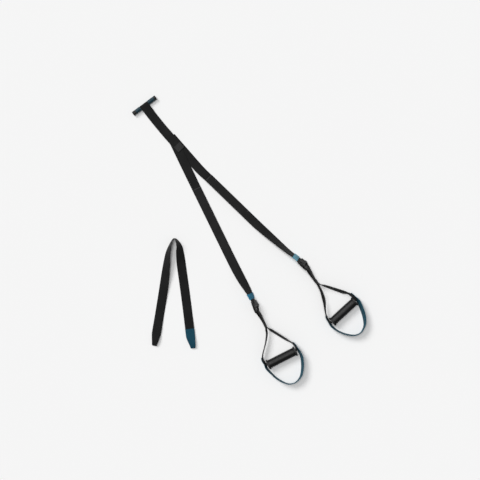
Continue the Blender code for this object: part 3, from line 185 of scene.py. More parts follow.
# How each leg lies. Headings are degrees anticlockwise from +X, rolls are degrees from flat, and leans are
# degrees from upright. The yoke's reach is from the grip's axis to where it parts, and the inner slack is how
# much further out its inner branch bows. The foot's asides are how far its inner and outer side lie towards
# the grip's outer end.
SIDES = (
    SimpleNamespace(
        name="right", start=(-0.0209, 0.0531), layers=0, leg_length=0.710, keeper_gap=0.007,
        seam_heading=-48.8, leg_heading=-44.1, keeper_heading=-37.0, buckle_heading=-43.0,
        stem_heading=-56.6, handle_heading=-47.3, swing=-20.0,
        flat_roll=22.0, keeper_roll=70.0, buckle_roll=63.0,
        twist_run=0.215, twist_power=1.0, yoke_reach=0.158,
        outer_leans=(
            (0.0, 20.0), (0.28, 20.5), (0.34, 32.0), (0.38, 35.0), (0.50, 33.0), (0.57, 32.5),
            (0.63, 29.0), (0.70, 28.0), (0.78, 24.5), (0.86, 19.0), (0.93, 2.0), (1.0, -24.0),
        ),
        inner_leans=(
            (0.0, -16.0), (0.28, -16.5), (0.38, -24.0), (0.44, -29.5), (0.52, -35.0), (0.59, -36.0),
            (0.66, -36.0), (0.74, -32.5), (0.82, -28.5), (0.92, -25.0), (1.0, -24.0),
        ),
        foot_leans=(23.0, -9.0), foot_back=4.5, inner_slack=-0.0015,
        foot_asides=(-0.003, -0.007), foot_depth=0.114,
    ),
    SimpleNamespace(
        name="left", start=(-0.0117, 0.0405), layers=1, leg_length=0.723, keeper_gap=0.006,
        seam_heading=-64.3, leg_heading=-64.0, keeper_heading=-74.0, buckle_heading=-69.5,
        stem_heading=-60.0, handle_heading=-63.0, swing=25.0,
        flat_roll=0.0, keeper_roll=64.0, buckle_roll=71.0,
        twist_run=0.210, twist_power=1.8, yoke_reach=0.143,
        outer_leans=(
            (0.0, 15.0), (0.31, 15.5), (0.37, 22.0), (0.43, 25.0), (0.57, 27.5),
            (0.70, 28.5), (0.78, 30.0), (0.86, 31.0), (0.93, 16.0), (1.0, -17.0),
        ),
        inner_leans=(
            (0.0, -13.0), (0.31, -13.5), (0.45, -13.5), (0.59, -15.0),
            (0.66, -17.5), (0.74, -19.5), (0.82, -22.0), (0.92, -20.0), (1.0, -17.0),
        ),
        foot_leans=(18.0, -9.0), foot_back=5.5, inner_slack=0.0086,
        foot_asides=(0.003, 0.0015), foot_depth=0.118,
    ),
)

# How the extension strap lies from its bend to its left end (-1) and to its right end (1): each turn is a
# share of the length and a heading. The strap stands on edge at the bend and lies flat after its roll run.
# The eye's tip lies as far as its skew to the side of the strap's own line.
HALVES = {
    -1: SimpleNamespace(
        length=0.410, roll_run=0.330, first_heading=180.0, eye_skew=0.0,
        turn_shares=((0.024, 236.0), (0.107, 246.0), (0.073, 257.0), (0.195, 261.0), (0.601, 260.5)),
    ),
    1: SimpleNamespace(
        length=0.4235, roll_run=0.190, first_heading=0.0, eye_skew=0.005,
        turn_shares=((0.028, -42.0), (0.061, -58.0), (0.047, -76.0), (0.117, -81.5), (0.747, -83.5)),
    ),
}

UP = Vector((0, 0, 1))


def arc(centre, radius, start, end, steps):
    """Points on an arc about the centre, with angles in degrees."""
    points = []
    for i in range(steps + 1):
        angle = math.radians(start + (end - start) * i / steps)
        points.append((centre[0] + radius * math.cos(angle), centre[1] + radius * math.sin(angle)))
    return points


def heading(degrees):
    return Vector((math.cos(math.radians(degrees)), math.sin(math.radians(degrees)), 0))


def right_of(way):
    return Vector((way.y, -way.x, 0)).normalized()


def square_to(way, across):
    """A direction turned no more than it takes to be square to the way."""
    return (across - way * across.dot(way)).normalized()


def ease(value, start, end):
    """Rises smoothly from 0 at the start to 1 at the end."""
    share = min(max((value - start) / (end - start), 0), 1)
    return share * share * (3 - 2 * share)


def between(table, share):
    """The value at this share in a table of (share, value) pairs."""
    for (first, low), (second, high) in zip(table, table[1:]):
        if share <= second:
            return low + (high - low) * (share - first) / (second - first)
    return table[-1][1]


def spline(points, step):
    """Points about a step apart on a smooth curve through the given ones."""
    ends = [points[0] * 2 - points[1]] + list(points) + [points[-1] * 2 - points[-2]]
    found = []
    for a, b, c, d in zip(ends, ends[1:], ends[2:], ends[3:]):
        pieces = max(1, round((c - b).length / step))
        for i in range(pieces):
            t = i / pieces
            pull = (c - a) * t + (a * 2 - b * 5 + c * 4 - d) * t**2 + (b * 3 - a - c * 3 + d) * t**3
            found.append(b + pull / 2)
    found.append(points[-1])
    return found


def spread(start, end, step):
    """Values from the start to the end, no more than a step apart."""
    count = max(1, math.ceil(abs(end - start) / step))
    return [start + (end - start) * i / count for i in range(count + 1)]


def station(marks, mark):
    """The span of rising marks that a mark lies in, and how far along that span it is, as a share."""
    i = max(0, min(len(marks) - 2, sum(m <= mark for m in marks) - 1))
    return i, (mark - marks[i]) / (marks[i + 1] - marks[i])


def directions(places, closed=False):
    """The unit direction of a path at each of its points."""
    last = len(places) - 1
    found = []
    for i in range(len(places)):
        if closed:
            before, after = places[i - 1], places[(i + 1) % len(places)]
        else:
            before, after = places[max(i - 1, 0)], places[min(i + 1, last)]
        found.append((after - before).normalized())
    return found


def lengths_along(places):
    """The length of a path up to each of its points."""
    lengths = [0.0]
    for before, after in zip(places, places[1:]):
        lengths.append(lengths[-1] + (after - before).length)
    return lengths


class Trail:
    """A route on the floor: from a start and a heading, each run turns steadily to its own heading."""

    STEPS = 60  # to a run

    def __init__(self, start, first_heading, runs):
        self.marks = [0.0]
        self.places = [Vector((start[0], start[1], 0))]
        self.headings = [first_heading]
        for length, last_heading in runs:
            begin = self.headings[-1]
            stride = length / self.STEPS
            for i in range(self.STEPS):
                middle = begin + (last_heading - begin) * (i + 1 / 2) / self.STEPS
                self.places.append(self.places[-1] + heading(middle) * stride)
                self.marks.append(self.marks[-1] + stride)
                self.headings.append(begin + (last_heading - begin) * (i + 1) / self.STEPS)

    def at(self, mark):
        """The place and the direction at this distance along the route."""
        i, share = station(self.marks, mark)
        turn = self.headings[i] + (self.headings[i + 1] - self.headings[i]) * min(max(share, 0), 1)
        return self.places[i].lerp(self.places[i + 1], share), heading(turn)


class Leg:
    """The lie of one leg: the lower edge of its strap follows a trail, and the strap rolls about it."""

    def __init__(self, side):
        self.side = side
        self.keeper_start = side.leg_length
        self.keeper_middle = self.keeper_start + KEEPER_LENGTH / 2
        self.buckle_front = self.keeper_start + KEEPER_LENGTH + side.keeper_gap
        self.plate_end = self.buckle_front + PLATE_END - PLATE_THICKNESS / 2
        self.split = TAIL_START + TRAVEL + PLY_OVERLAP
        straight = side.leg_length - KEEPER_EASE - SEAM_RUN - BEND_RUN
        runs = (
            (SEAM_RUN, side.seam_heading),
            (BEND_RUN, side.leg_heading),
            (straight, side.leg_heading),
            (KEEPER_EASE + KEEPER_LENGTH / 2, side.keeper_heading),
            (self.buckle_front - self.keeper_middle, side.buckle_heading),
            (REAR_BAR_PLACE + REAR_BOSS_RADIUS, side.buckle_heading),
        )
        self.trail = Trail(side.start, side.seam_heading, runs)

    def roll(self, mark):
        """Degrees from flat of the two plies that move with the buckle."""
        side = self.side
        share = min(max(1 - (self.keeper_middle - mark) / side.twist_run, 0), 1)
        twist = side.flat_roll + (side.keeper_roll - side.flat_roll) * share**side.twist_power
        return twist + (side.buckle_roll - twist) * ease(mark, self.keeper_middle, self.buckle_front)

    def clearance(self, mark):
        """How far the lower edge is held off the floor by the keeper and the buckle."""
        roll = math.radians(self.side.keeper_roll)
        keeper = (KEEPER_WALL + KEEPER_CLEARANCE) * (math.sin(roll) + math.cos(roll))
        roll = math.radians(self.side.buckle_roll)
        buckle = (BUCKLE_INSIDE / 2 + CHEEK_THICKNESS - WEBBING_WIDTH / 2) * math.sin(roll)
        buckle += (REAR_BOSS_RADIUS - WEBBING_THICKNESS - SEAT / 2) * math.cos(roll)
        rise = ease(mark, self.keeper_start - KEEPER_EASE, self.keeper_start)
        return keeper * rise + (buckle - keeper) * ease(mark, self.keeper_middle, self.buckle_front)

    def frame(self, mark, roll=None):
        """The middle between the two plies, with the directions along, across and square to them."""
        place, along = self.trail.at(mark)
        angle = math.radians(self.roll(mark) if roll is None else roll)
        across = right_of(along) * math.cos(angle) + UP * math.sin(angle)
        normal = across.cross(along)
        middle = place + across * (WEBBING_WIDTH / 2) + normal * (WEBBING_THICKNESS + SEAT / 2)
        return middle + UP * self.clearance(mark), along, across, normal

    def half_pitch(self, mark):
        """From the middle to each ply, which part to go round the buckle's plate."""
        opening = ease(mark, self.buckle_front - PARTING_RUN, self.buckle_front + PLATE_START)
        return HALF_PITCH + (PLY_RADIUS - HALF_PITCH) * opening

    def ply(self, mark, face):
        """A point of the upper ply, where the face is 1, or of the lower one, where it is -1."""
        middle, _, across, normal = self.frame(mark)
        return middle + normal * (face * self.half_pitch(mark)), across


def over_trail(trail, profile):
    """A path on the trail from (length along it, height) pairs."""
    path = []
    for mark, height in profile:
        place, along = trail.at(mark)
        path.append((place + UP * height, right_of(along)))
    return path


def anchor_height(mark):
    """How high the middle of the anchor strap's upper ply lies."""
    seam_start = ANCHOR_LENGTH - ANCHOR_SEAM
    seam = 2 * LAYER * ease(mark, seam_start - ANCHOR_EASE, seam_start)
    loop = LAYER * (1 - ease(mark, LOOP_RETURN + STRAP_STEP, LOOP_RETURN + ANCHOR_EASE))
    return WEBBING_THICKNESS / 2 + seam + loop


def anchor_path(trail):
    """From the seam to the bar, round its core and back underneath."""
    radius = BAR_CORE_RADIUS + SEAT + WEBBING_THICKNESS / 2
    lower_height = WEBBING_THICKNESS / 2
    turns = []
    for height, sign in ((anchor_height(LOOP_EYE), 1), (lower_height, -1)):
        drop = height - BAR_RADIUS
        tangent = math.acos(radius / math.hypot(LOOP_EYE, drop))
        turns.append(math.degrees(math.atan2(drop, LOOP_EYE) + sign * tangent))
    profile = [(mark, anchor_height(mark)) for mark in spread(ANCHOR_LENGTH, LOOP_EYE, STRAP_STEP)]
    profile += arc((0, BAR_RADIUS), radius, turns[0], 360 + turns[1], ARC_STEPS)
    profile += [(mark, lower_height) for mark in spread(LOOP_EYE, LOOP_RETURN, STRAP_STEP)]
    return over_trail(trail, profile)


def flat_path(trail, start, end, height):
    """A flat run on the trail, with its middle at this height."""
    return over_trail(trail, [(mark, height) for mark in spread(start, end, CURVE_STEP)])


class Handle:
    """The lie of one handle: its stem leaves the buckle's rear bar and parts into the yoke's two branches."""

    def __init__(self, leg):
        self.side = side = leg.side
        middle, along, self.bar_across, normal = leg.frame(leg.buckle_front)
        self.bar = middle + along * REAR_BAR_PLACE
        swing = math.radians(side.swing)
        self.leaving = along * math.cos(swing) + normal * math.sin(swing)
        self.down = heading(side.handle_heading)
        self.outward = UP.cross(self.down)
        self.apex = self.bar + heading(side.stem_heading) * STEM_REACH
        self.apex.z = GRIP_FLANGE_RADIUS
        self.reach = side.yoke_reach
        self.grip = self.apex + self.down * self.reach

    def leaning(self, place, way):
        """Across a strap that stands on edge here: its upper edge leans away from the handle's middle."""
        reach = place - self.grip
        sideways = reach.dot(self.outward) / YOKE_HALF_SPAN
        below = reach.dot(self.down)
        share = max(-below / self.reach, 0)
        low = ease(below, 0, FOOT_RUN)
        pairs = zip((self.side.outer_leans, self.side.inner_leans), self.side.foot_leans)
        outer, inner = (between(leans, share) + (foot - leans[0][1]) * low for leans, foot in pairs)
        room = APEX_ROOM_SHARE + GRIP_ROOM_SHARE * (1 - share)
        lean = inner + (outer - inner) * ease(sideways, -room, room)
        across = UP * math.cos(math.radians(lean)) + self.outward * math.sin(math.radians(lean))
        across -= self.down * math.sin(math.radians(self.side.foot_back * low))
        return square_to(way, across)

    def stem(self, share):
        """The middle of the stem at this share of its length, and its directions as in a leg's frame."""
        start_pull = self.leaving * (STEM_REACH * STEM_PULL_SHARE)
        end_pull = self.down * STEM_REACH
        t = share
        middle = (
            self.bar * (1 - 3 * t**2 + 2 * t**3) + start_pull * (t - 2 * t**2 + t**3)
            + self.apex * (3 * t**2 - 2 * t**3) + end_pull * (t**3 - t**2)
        )
        way = (self.bar - self.apex) * (6 * t**2 - 6 * t)
        way = (way + start_pull * (1 - 4 * t + 3 * t**2) + end_pull * (3 * t**2 - 2 * t)).normalized()
        across = self.bar_across.lerp(self.leaning(self.apex, self.down), ease(t, 0, 1))
        across = square_to(way, across)
        return middle, way, across, across.cross(way)

    def stem_ply(self, share, face):
        """A point of one of the stem's plies, which part again to go round the bar."""
        middle, _, across, normal = self.stem(share)
        pitch = HALF_PITCH + (WRAP_RADIUS - HALF_PITCH) * (1 - ease(share, STEM_OPEN_SHARE, STEM_CLOSE_SHARE))
        return middle + normal * (face * pitch), across

    def at(self, u, v):
        """A place level with the grip's axis: u along the grip and v towards the buckle."""
        return self.grip + self.outward * u - self.down * v

    def wrap(self):
        """Round the bar, from the stem's lower ply to its upper one."""
        _, way, across, normal = self.stem(0)
        turns = arc((0, 0), WRAP_RADIUS, 270, 90, ARC_STEPS)[1:-1]
        return [(self.bar + way * y + normal * z, across) for y, z in turns]

    def branch(self, face):
        """The branch of the yoke on this side, from where it parts to the start of its corner."""
        shares = OUTER_BRANCH_SHARES if face > 0 else INNER_BRANCH_SHARES
        full_slack = 0 if face > 0 else self.side.inner_slack
        points = [self.stem_ply(1, face)[0]]
        for u, v in shares:
            slack = full_slack * ease(v, 0, SLACK_SHARES[0]) * ease(v, SLACK_END_SHARE, SLACK_SHARES[1])
            points.append(self.at(face * (u * YOKE_HALF_SPAN + slack), v * self.reach))
        points.append(self.at(face * YOKE_HALF_SPAN, YOKE_CORNER_RADIUS))
        return spline(points, STRAP_STEP)

    def corner(self, face):
        """From the branch into the grip."""
        centre = YOKE_HALF_SPAN - YOKE_CORNER_RADIUS
        turns = arc((centre, YOKE_CORNER_RADIUS), YOKE_CORNER_RADIUS, 0, -90, ARC_STEPS // 2)
        return [self.at(face * u, v) for u, v in turns[1:]]

    def through(self):
        """Along the grip's bore, from its outer end to its inner one."""
        end = YOKE_HALF_SPAN - YOKE_CORNER_RADIUS
        return [self.at(u, 0) for u in spread(-end, end, STRAP_STEP)[-2:0:-1]]

    def yoke_path(self):
        """The whole closed ribbon, from where it parts, through the grip, back and round the bar."""
        run = self.branch(1) + self.corner(1) + self.through()
        run += (self.branch(-1) + self.corner(-1))[::-1]
        path = [(place, self.leaning(place, way)) for place, way in zip(run, directions(run))]
        shares = spread(0, 1, 1 / STEM_STEPS)
        path += [self.stem_ply(share, -1) for share in shares[-2::-1]]
        path += self.wrap()
        path += [self.stem_ply(share, 1) for share in shares[:-1]]
        return path

    def foot_path(self):
        """The foot loop, from the end that is sewn to the outer branch round to the inner one."""
        ends = []
        for face in (1, -1):
            branch = self.branch(face)
            ways = directions(branch)
            length = 0
            end = []
            for i in range(len(branch) - 1, 0, -1):
                across = self.leaning(branch[i], ways[i])
                place = branch[i] + across.cross(ways[i]) * (face * LAYER)
                end.append(place + across * ((self.foot_height(across) - place.z) / across.z))
                length += (branch[i] - branch[i - 1]).length
                if length > FOOT_SEWN:
                    break
            ends.append(end)
        bottom = []
        for u, v in FOOT_SHARES:
            aside = self.side.foot_asides[u > 0] * ease(v, 0, FOOT_ASIDE_SHARE)
            bottom.append(self.at(u * FOOT_HALF_WIDTH + aside, -v * self.side.foot_depth))
        run = spline(ends[0][::-1] + bottom + ends[1], STRAP_STEP)
        path = []
        for place, way in zip(run, directions(run)):
            level = Vector((way.x, way.y, 0)).normalized()
            across = self.leaning(place, level)
            path.append((Vector((place.x, place.y, self.foot_height(across))), across))
        return path

    def foot_height(self, across):
        """The height of the foot loop's middle where its lower edge rests on the floor."""
        tilt = math.sqrt(max(1 - across.z**2, 0))
        return FOOT_WIDTH / 2 * across.z + WEBBING_THICKNESS / 2 * tilt


class Extension:
    """The lie of the loose extension strap: it stands on edge at its bend and lies flat at its ends."""

    def __init__(self):
        self.trails = {}
        for sign, half in HALVES.items():
            runs = [(share * half.length, degrees) for share, degrees in half.turn_shares]
            self.trails[sign] = Trail(EXTENSION_PLACE, half.first_heading, runs)

    def frame(self, mark):
        """The strap's middle and directions, from the bend: marks to the left are below zero."""
        sign = -1 if mark < 0 else 1
        half = HALVES[sign]
        place, along = self.trails[sign].at(abs(mark))
        along = along * sign
        flat = min(abs(mark) / half.roll_run, 1)
        roll = math.radians(90 * (1 - flat) ** 2)
        across = right_of(along) * math.cos(roll) + UP * math.sin(roll)
        normal = across.cross(along)
        seam = half.length - EYE_SEWN
        level = LAYER * ease(abs(mark), seam - LAYER_EASE, seam)
        middle = place + across * (WEBBING_WIDTH / 2) + normal * (WEBBING_THICKNESS / 2)
        return middle + UP * level, along, across

    def path(self):
        """From the left end round the bend to the right end."""
        marks = []
        for sign, half in HALVES.items():
            run = spread(0, EXTENSION_BEND, BEND_STEP) + spread(EXTENSION_BEND, half.length, STRAP_STEP)[1:]
            marks = [-mark for mark in reversed(run[1:])] if sign < 0 else marks + run
        return [(middle, across) for middle, _, across in map(self.frame, marks)]

    def eye_place(self, sign, reach, height):
        """A place over the end of the strap: reach is from where its eye begins, height is off the floor."""
        mark = sign * (HALVES[sign].length - EYE_SEWN)
        middle, along, across = self.frame(mark)
        outward = along * sign
        aside = HALVES[sign].eye_skew * ease(reach, EYE_SEWN, EYE_LENGTH)
        place = Vector((middle.x, middle.y, height)) + Vector((outward.x, outward.y, 0)) * reach
        place -= right_of(outward) * aside
        return place, Vector((across.x, across.y, 0)).normalized()


def eye_profile():
    """The side view of a sewn eye, from its upper to its lower end, with how narrow it is at each point."""
    upper = 2 * LAYER + WEBBING_THICKNESS / 2
    lower = WEBBING_THICKNESS / 2
    floor = EYE_THICKNESS / 2
    tip = EYE_LENGTH - floor
    top = EYE_RISE - floor
    shoulders = [Vector((EYE_LENGTH * x, floor + (top - floor) * z, share)) for x, z, share in EYE_SHARES]
    half = len(shoulders) // 2
    points = [Vector((EYE_SEWN + SEAT, upper, 0))] + shoulders[:half]
    points += [Vector((tip, (top + floor) / 2, 1))] + shoulders[half:]
    points += [Vector((EYE_SEWN + SEAT, lower, 0))]
    middle = spline(points, CURVE_STEP / 2)
    flat = spread(0, EYE_SEWN + SEAT, CURVE_STEP)[:-1]
    start = [Vector((x, upper, 0)) for x in flat]
    end = [Vector((x, lower, 0)) for x in reversed(flat)]
    return start + middle + end


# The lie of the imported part: the door bar's core is where the route of the anchor strap starts.
BAR_LOW, BAR_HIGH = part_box("anchor_bar_core")
BAR_MIDDLE = (BAR_LOW + BAR_HIGH) / 2
OFFSET = BAR_MIDDLE - Vector((*BAR_PLACE, BAR_RADIUS))

# Straps and threads as they look
EDGE_SHARES = ((0.0, 0.40), (0.35, 0.80), (1.2, 1.0))  # of half the thickness: in from the edge, and up
SHARP_EDGE = 50  # degrees between faces from which their edge is drawn sharp
KEEPER_CORNER_STEPS = 4
THREAD_RADIUS = 0.00030
THREAD_SIDES = 6
STITCH_LENGTH = 0.0026
STITCH_PITCH = 0.0034
# A stitch's rings: where along it, then their radius and lift as shares of the thread's radius
STITCH_SHARES = ((0, 0.35, -0.6), (0.15, 0.9, 0.1), (0.5, 1, 0.5), (0.85, 0.9, 0.1), (1, 0.35, -0.6))
ROW_STEPS = 6


def edge_profile(width, thickness):
    """A strap's section with rounded edges, as (across, up) points in one turn."""
    half, rise = width / 2, thickness / 2
    top = [(-half + rise * x, rise * z) for x, z in EDGE_SHARES]
    top += [(-half / 2, rise), (0, rise), (half / 2, rise)]
    top += [(half - rise * x, rise * z) for x, z in reversed(EDGE_SHARES)]
    return top + [(x, -z) for x, z in reversed(top)]


def in_scene(name, data):
    """A new object that is linked into the scene."""
    obj = bpy.data.objects.new(name, data)
    bpy.context.scene.collection.objects.link(obj)
    return obj


def new_object(name, mesh, look, body, nodes=()):
    """An object from a bmesh in the world's frame, with its look, its body and the nodes it stands for."""
    bmesh.ops.recalc_face_normals(mesh, faces=mesh.faces)
    data = bpy.data.meshes.new(name)
    mesh.to_mesh(data)
    mesh.free()
    data.materials.append(LOOKS[look])
    data.shade_smooth()
    data.set_sharp_from_angle(angle=math.radians(SHARP_EDGE))
    obj = in_scene(name, data)
    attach(obj, body)
    if nodes:
        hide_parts(*nodes)


class Cloth:
    """A mesh in the making, whose UV map says in metres where each corner lies on the cloth."""

    def __init__(self):
        self.mesh = bmesh.new()
        self.uv = self.mesh.loops.layers.uv.new("strap")

    def ring(self, place, across, way, outline):
        """The points of an outline, square to the way that the strap runs here."""
        rise = across.cross(way).normalized()
        return [self.mesh.verts.new(place + OFFSET + across * x + rise * z) for x, z in outline]

    def face(self, corners, marks):
        made = self.mesh.faces.new(corners)
        for loop, mark in zip(made.loops, marks):
            loop[self.uv].uv = mark


def ribbon(name, path, width, look, body, nodes=(), thickness=WEBBING_THICKNESS, closed=False):
    """A woven strap along a path of (place, across) pairs; its width and thickness may be lists along it."""
    widths = width if isinstance(width, list) else [width] * len(path)
    depths = thickness if isinstance(thickness, list) else [thickness] * len(path)
    cloth = Cloth()
    places = [place for place, _ in path]
    lengths = lengths_along(places)
    rings = []
    for (place, across), way, wide, deep in zip(path, directions(places, closed), widths, depths):
        profile = edge_profile(wide, deep)
        rings.append((cloth.ring(place, across, way, profile), profile))
    spans = [(i, i + 1, lengths[i], lengths[i + 1]) for i in range(len(path) - 1)]
    if closed:
        spans.append((-1, 0, lengths[-1], lengths[-1] + (places[0] - places[-1]).length))
    for a, b, start, end in spans:
        (first, before), (second, after) = rings[a], rings[b]
        for i in range(len(first)):
            j = (i + 1) % len(first)
            marks = ((start, before[i][0]), (start, before[j][0]), (end, after[j][0]), (end, after[i][0]))
            cloth.face((first[i], first[j], second[j], second[i]), marks)
    if not closed:
        for (ring, profile), length in ((rings[0], 0), (rings[-1], lengths[-1])):
            cloth.face(ring, [(length + z, x) for x, z in profile])
    new_object(name, cloth.mesh, look, body, nodes)


def on_strap(path, length, aside, lift):
    """A point on a strap's face: this far along it and aside from its middle, lifted square to it."""
    places = [place for place, _ in path]
    ways = directions(places)
    i, share = station(lengths_along(places), length)
    across = path[i][1].lerp(path[i + 1][1], share).normalized()
    way = ways[i].lerp(ways[i + 1], share).normalized()
    normal = across.cross(way).normalized()
    return places[i].lerp(places[i + 1], share) + across * aside + normal * lift, normal


def round_ring(mesh, middle, side, rise, radius, count):
    """A ring of vertices round a place."""
    ring = []
    for k in range(count):
        turn = math.tau * k / count
        place = middle + side * (radius * math.cos(turn)) + rise * (radius * math.sin(turn))
        ring.append(mesh.verts.new(place))
    return ring


def joined(mesh, first, second):
    """The faces between two rings."""
    for k in range(len(first)):
        j = (k + 1) % len(first)
        mesh.faces.new((first[k], first[j], second[j], second[k]))


def thread_rows(name, rows, look, body, nodes):
    """Rows of stitches: each row is a run of (place, normal) pairs, sewn with short lengths of thread."""
    mesh = bmesh.new()
    for row in rows:
        places = [place for place, _ in row]
        lengths = lengths_along(places)
        count = max(1, round(lengths[-1] / STITCH_PITCH))
        pitch = lengths[-1] / count
        stitch = STITCH_LENGTH * pitch / STITCH_PITCH
        for n in range(count):
            start = n * pitch + (pitch - stitch) / 2
            rings = []
            for share, size, hump in STITCH_SHARES:
                i, part = station(lengths, start + share * stitch)
                way = (places[i + 1] - places[i]).normalized()
                normal = row[i][1]
                middle = places[i].lerp(places[i + 1], part) + OFFSET + normal * (THREAD_RADIUS * hump)
                side = way.cross(normal).normalized()
                rings.append(round_ring(mesh, middle, side, normal, THREAD_RADIUS * size, THREAD_SIDES))
            for first, second in zip(rings, rings[1:]):
                joined(mesh, first, second)
            mesh.faces.new(rings[0])
            mesh.faces.new(rings[-1])
    new_object(name, mesh, look, body, nodes)


def strap_rows(path, runs, lift):
    """Rows for thread_rows on a strap, each from one (length, aside) point to the next."""
    rows = []
    shares = [i / ROW_STEPS for i in range(ROW_STEPS + 1)]
    for (start, first), (end, second) in runs:
        rows.append([
            on_strap(path, start + (end - start) * share, first + (second - first) * share, lift)
            for share in shares
        ])
    return rows


def box_runs(start, end, half):
    """The sides of a sewn box on a strap, and the cross in it."""
    a, b, c, d = (start, -half), (end, -half), (end, half), (start, half)
    return [(a, b), (b, c), (c, d), (d, a), (a, c), (b, d)]


# Materials: yarns, marks and relief in metres, grains in waves to the metre, the rest as shares
SHEEN = 0.05
YARN = 0.0016
PICK = 0.0013
PATCH_YARN = 0.0011
SELVEDGE = 0.0022
FLUFF_GRAIN = 1400.0
FADING_GRAIN = 22.0
YARN_SHADE = 0.55
FADING_SHADE = 0.30
SELVEDGE_SHADE = 0.18
FLUFF_SHADE = 0.15
WEAVE_RELIEF = 0.00030
# The tail's mark is a painted highlight: a lighter line near the cut end, in place of the end face that
# catches the light
HIGHLIGHT_WIDTH = 0.0024
TAIL_END_HIGHLIGHT = 0.0013  # from the strap's cut end
MOULDED_GRAIN = 900.0
MOULDED_CLOUDS = 60.0
MOULDED_RELIEF = 0.00006
COATED_GRAIN = 1200.0
COATED_CLOUDS = 90.0
COATED_RELIEF = 0.00004
STEEL_GRAIN = 500.0
STEEL_STRETCH = 12.0  # of its grain, into drawn lines
STEEL_RELIEF = 0.00003
FOAM_CELLS = 900.0
FOAM_CLOUDS = 120.0
FOAM_RELIEF = 0.00018
THREAD_GRAIN = 2500.0
THREAD_RELIEF = 0.0001


class Look:
    """A material in the making: a call that adds nodes returns the output of the last one."""

    def __init__(self, name, roughness, metallic=0.0, sheen=0.0, sheen_roughness=0.5, specular=0.5):
        self.material = bpy.data.materials.new(name)
        self.material.use_nodes = True
        self.nodes = self.material.node_tree.nodes
        self.shader = self.nodes["Principled BSDF"]
        self.fill(self.shader, {
            "Roughness": roughness, "Metallic": metallic, "Sheen Weight": sheen,
            "Sheen Roughness": sheen_roughness, "Specular IOR Level": specular,
        })

    def fill(self, node, values):
        """Gives inputs, by name or number, their values: plain ones, or the outputs of other nodes."""
        for key, value in values.items():
            if isinstance(value, bpy.types.NodeSocket):
                self.material.node_tree.links.new(value, node.inputs[key])
            else:
                node.inputs[key].default_value = value

    def maths(self, operation, *values):
        node = self.nodes.new("ShaderNodeMath")
        node.operation = operation
        self.fill(node, dict(enumerate(values)))
        return node.outputs[0]

    def times(self, first, second):
        return self.maths("MULTIPLY", first, second)

    def on_top(self, value, factor, base):
        """The value times the factor, added to the base."""
        return self.maths("MULTIPLY_ADD", value, factor, base)

    def mixed(self, share, first, second):
        """A colour between two, by a share from 0 to 1."""
        node = self.nodes.new("ShaderNodeMix")
        node.data_type = "RGBA"
        self.fill(node, {"Factor": share, 6: first, 7: second})
        return node.outputs[2]

    def place(self):
        return self.nodes.new("ShaderNodeTexCoord").outputs["Object"]

    def noise(self, grain, detail, roughness, source=None):
        """Noise over the object, from 0 to 1."""
        node = self.nodes.new("ShaderNodeTexNoise")
        source = self.place() if source is None else source
        self.fill(node, {"Scale": grain, "Detail": detail, "Roughness": roughness, "Vector": source})
        return node.outputs["Fac"]

    def stretched(self, value, low, high):
        """A value spread so that low becomes 0 and high becomes 1."""
        node = self.nodes.new("ShaderNodeMapRange")
        self.fill(node, {"From Min": low, "From Max": high, "Value": value})
        return node.outputs["Result"]

    def edges(self, low, high):
        """How much an edge stands out, where low is not at all and high is fully."""
        return self.stretched(self.nodes.new("ShaderNodeNewGeometry").outputs["Pointiness"], low, high)

    def finish(self, colour, height, relief, strength, roughness=None):
        """Joins what was made to the shader and returns the material."""
        node = self.nodes.new("ShaderNodeBump")
        self.fill(node, {"Strength": strength, "Distance": relief, "Height": height})
        self.fill(self.shader, {"Base Color": colour, "Normal": node.outputs["Normal"]})
        if roughness is not None:
            self.fill(self.shader, {"Roughness": roughness})
        return self.material


def woven(name, colours, width, yarn=YARN, pick=PICK, marks=(), highlight_colour=None):
    """Webbing: warp yarns along the strap that pass over and under the picks, with a plainer selvedge.

    Marks are lengths along the strap where a thin lighter line runs across it: a painted highlight in place
    of a lit cut end.
    """
    look = Look(name, roughness=0.78, sheen=SHEEN, sheen_roughness=0.45, specular=0.15)
    cloth = look.nodes.new("ShaderNodeUVMap")
    cloth.uv_map = "strap"
    split = look.nodes.new("ShaderNodeSeparateXYZ")
    look.fill(split, {0: cloth.outputs["UV"]})
    length, aside = split.outputs[0], split.outputs[1]
    column = look.maths("DIVIDE", aside, yarn)
    row = look.maths("ADD", look.maths("DIVIDE", length, pick), look.maths("FLOOR", column))
    across = look.maths("ABSOLUTE", look.maths("SINE", look.times(column, math.pi)))
    over = look.on_top(look.maths("SINE", look.times(row, math.pi)), 0.5, 0.5)
    yarns = look.times(look.maths("SQRT", across), look.on_top(over, 0.75, 0.25))
    fluff = look.noise(FLUFF_GRAIN, 2.0, 0.6)
    fading = look.stretched(look.noise(FADING_GRAIN, 3.0, 0.55), 0.35, 0.70)
    edge = width / 2 - SELVEDGE
    selvedge = look.stretched(look.maths("ABSOLUTE", aside), edge, edge + SELVEDGE * 2 / 3)
    shade = look.times(fading, FADING_SHADE)
    for value, factor in ((yarns, YARN_SHADE), (selvedge, SELVEDGE_SHADE), (fluff, FLUFF_SHADE)):
        shade = look.on_top(value, factor, shade)
    colour = look.mixed(shade, *colours)
    for place in marks:
        off = look.maths("ABSOLUTE", look.maths("SUBTRACT", length, place))
        line = look.maths("LESS_THAN", off, HIGHLIGHT_WIDTH / 2)
        colour = look.mixed(look.times(line, yarns), colour, highlight_colour)
    height = look.on_top(fluff, 0.35, yarns)
    roughness = look.on_top(fluff, 0.15, 0.68)
    return look.finish(colour, height, WEAVE_RELIEF, strength=0.8, roughness=roughness)


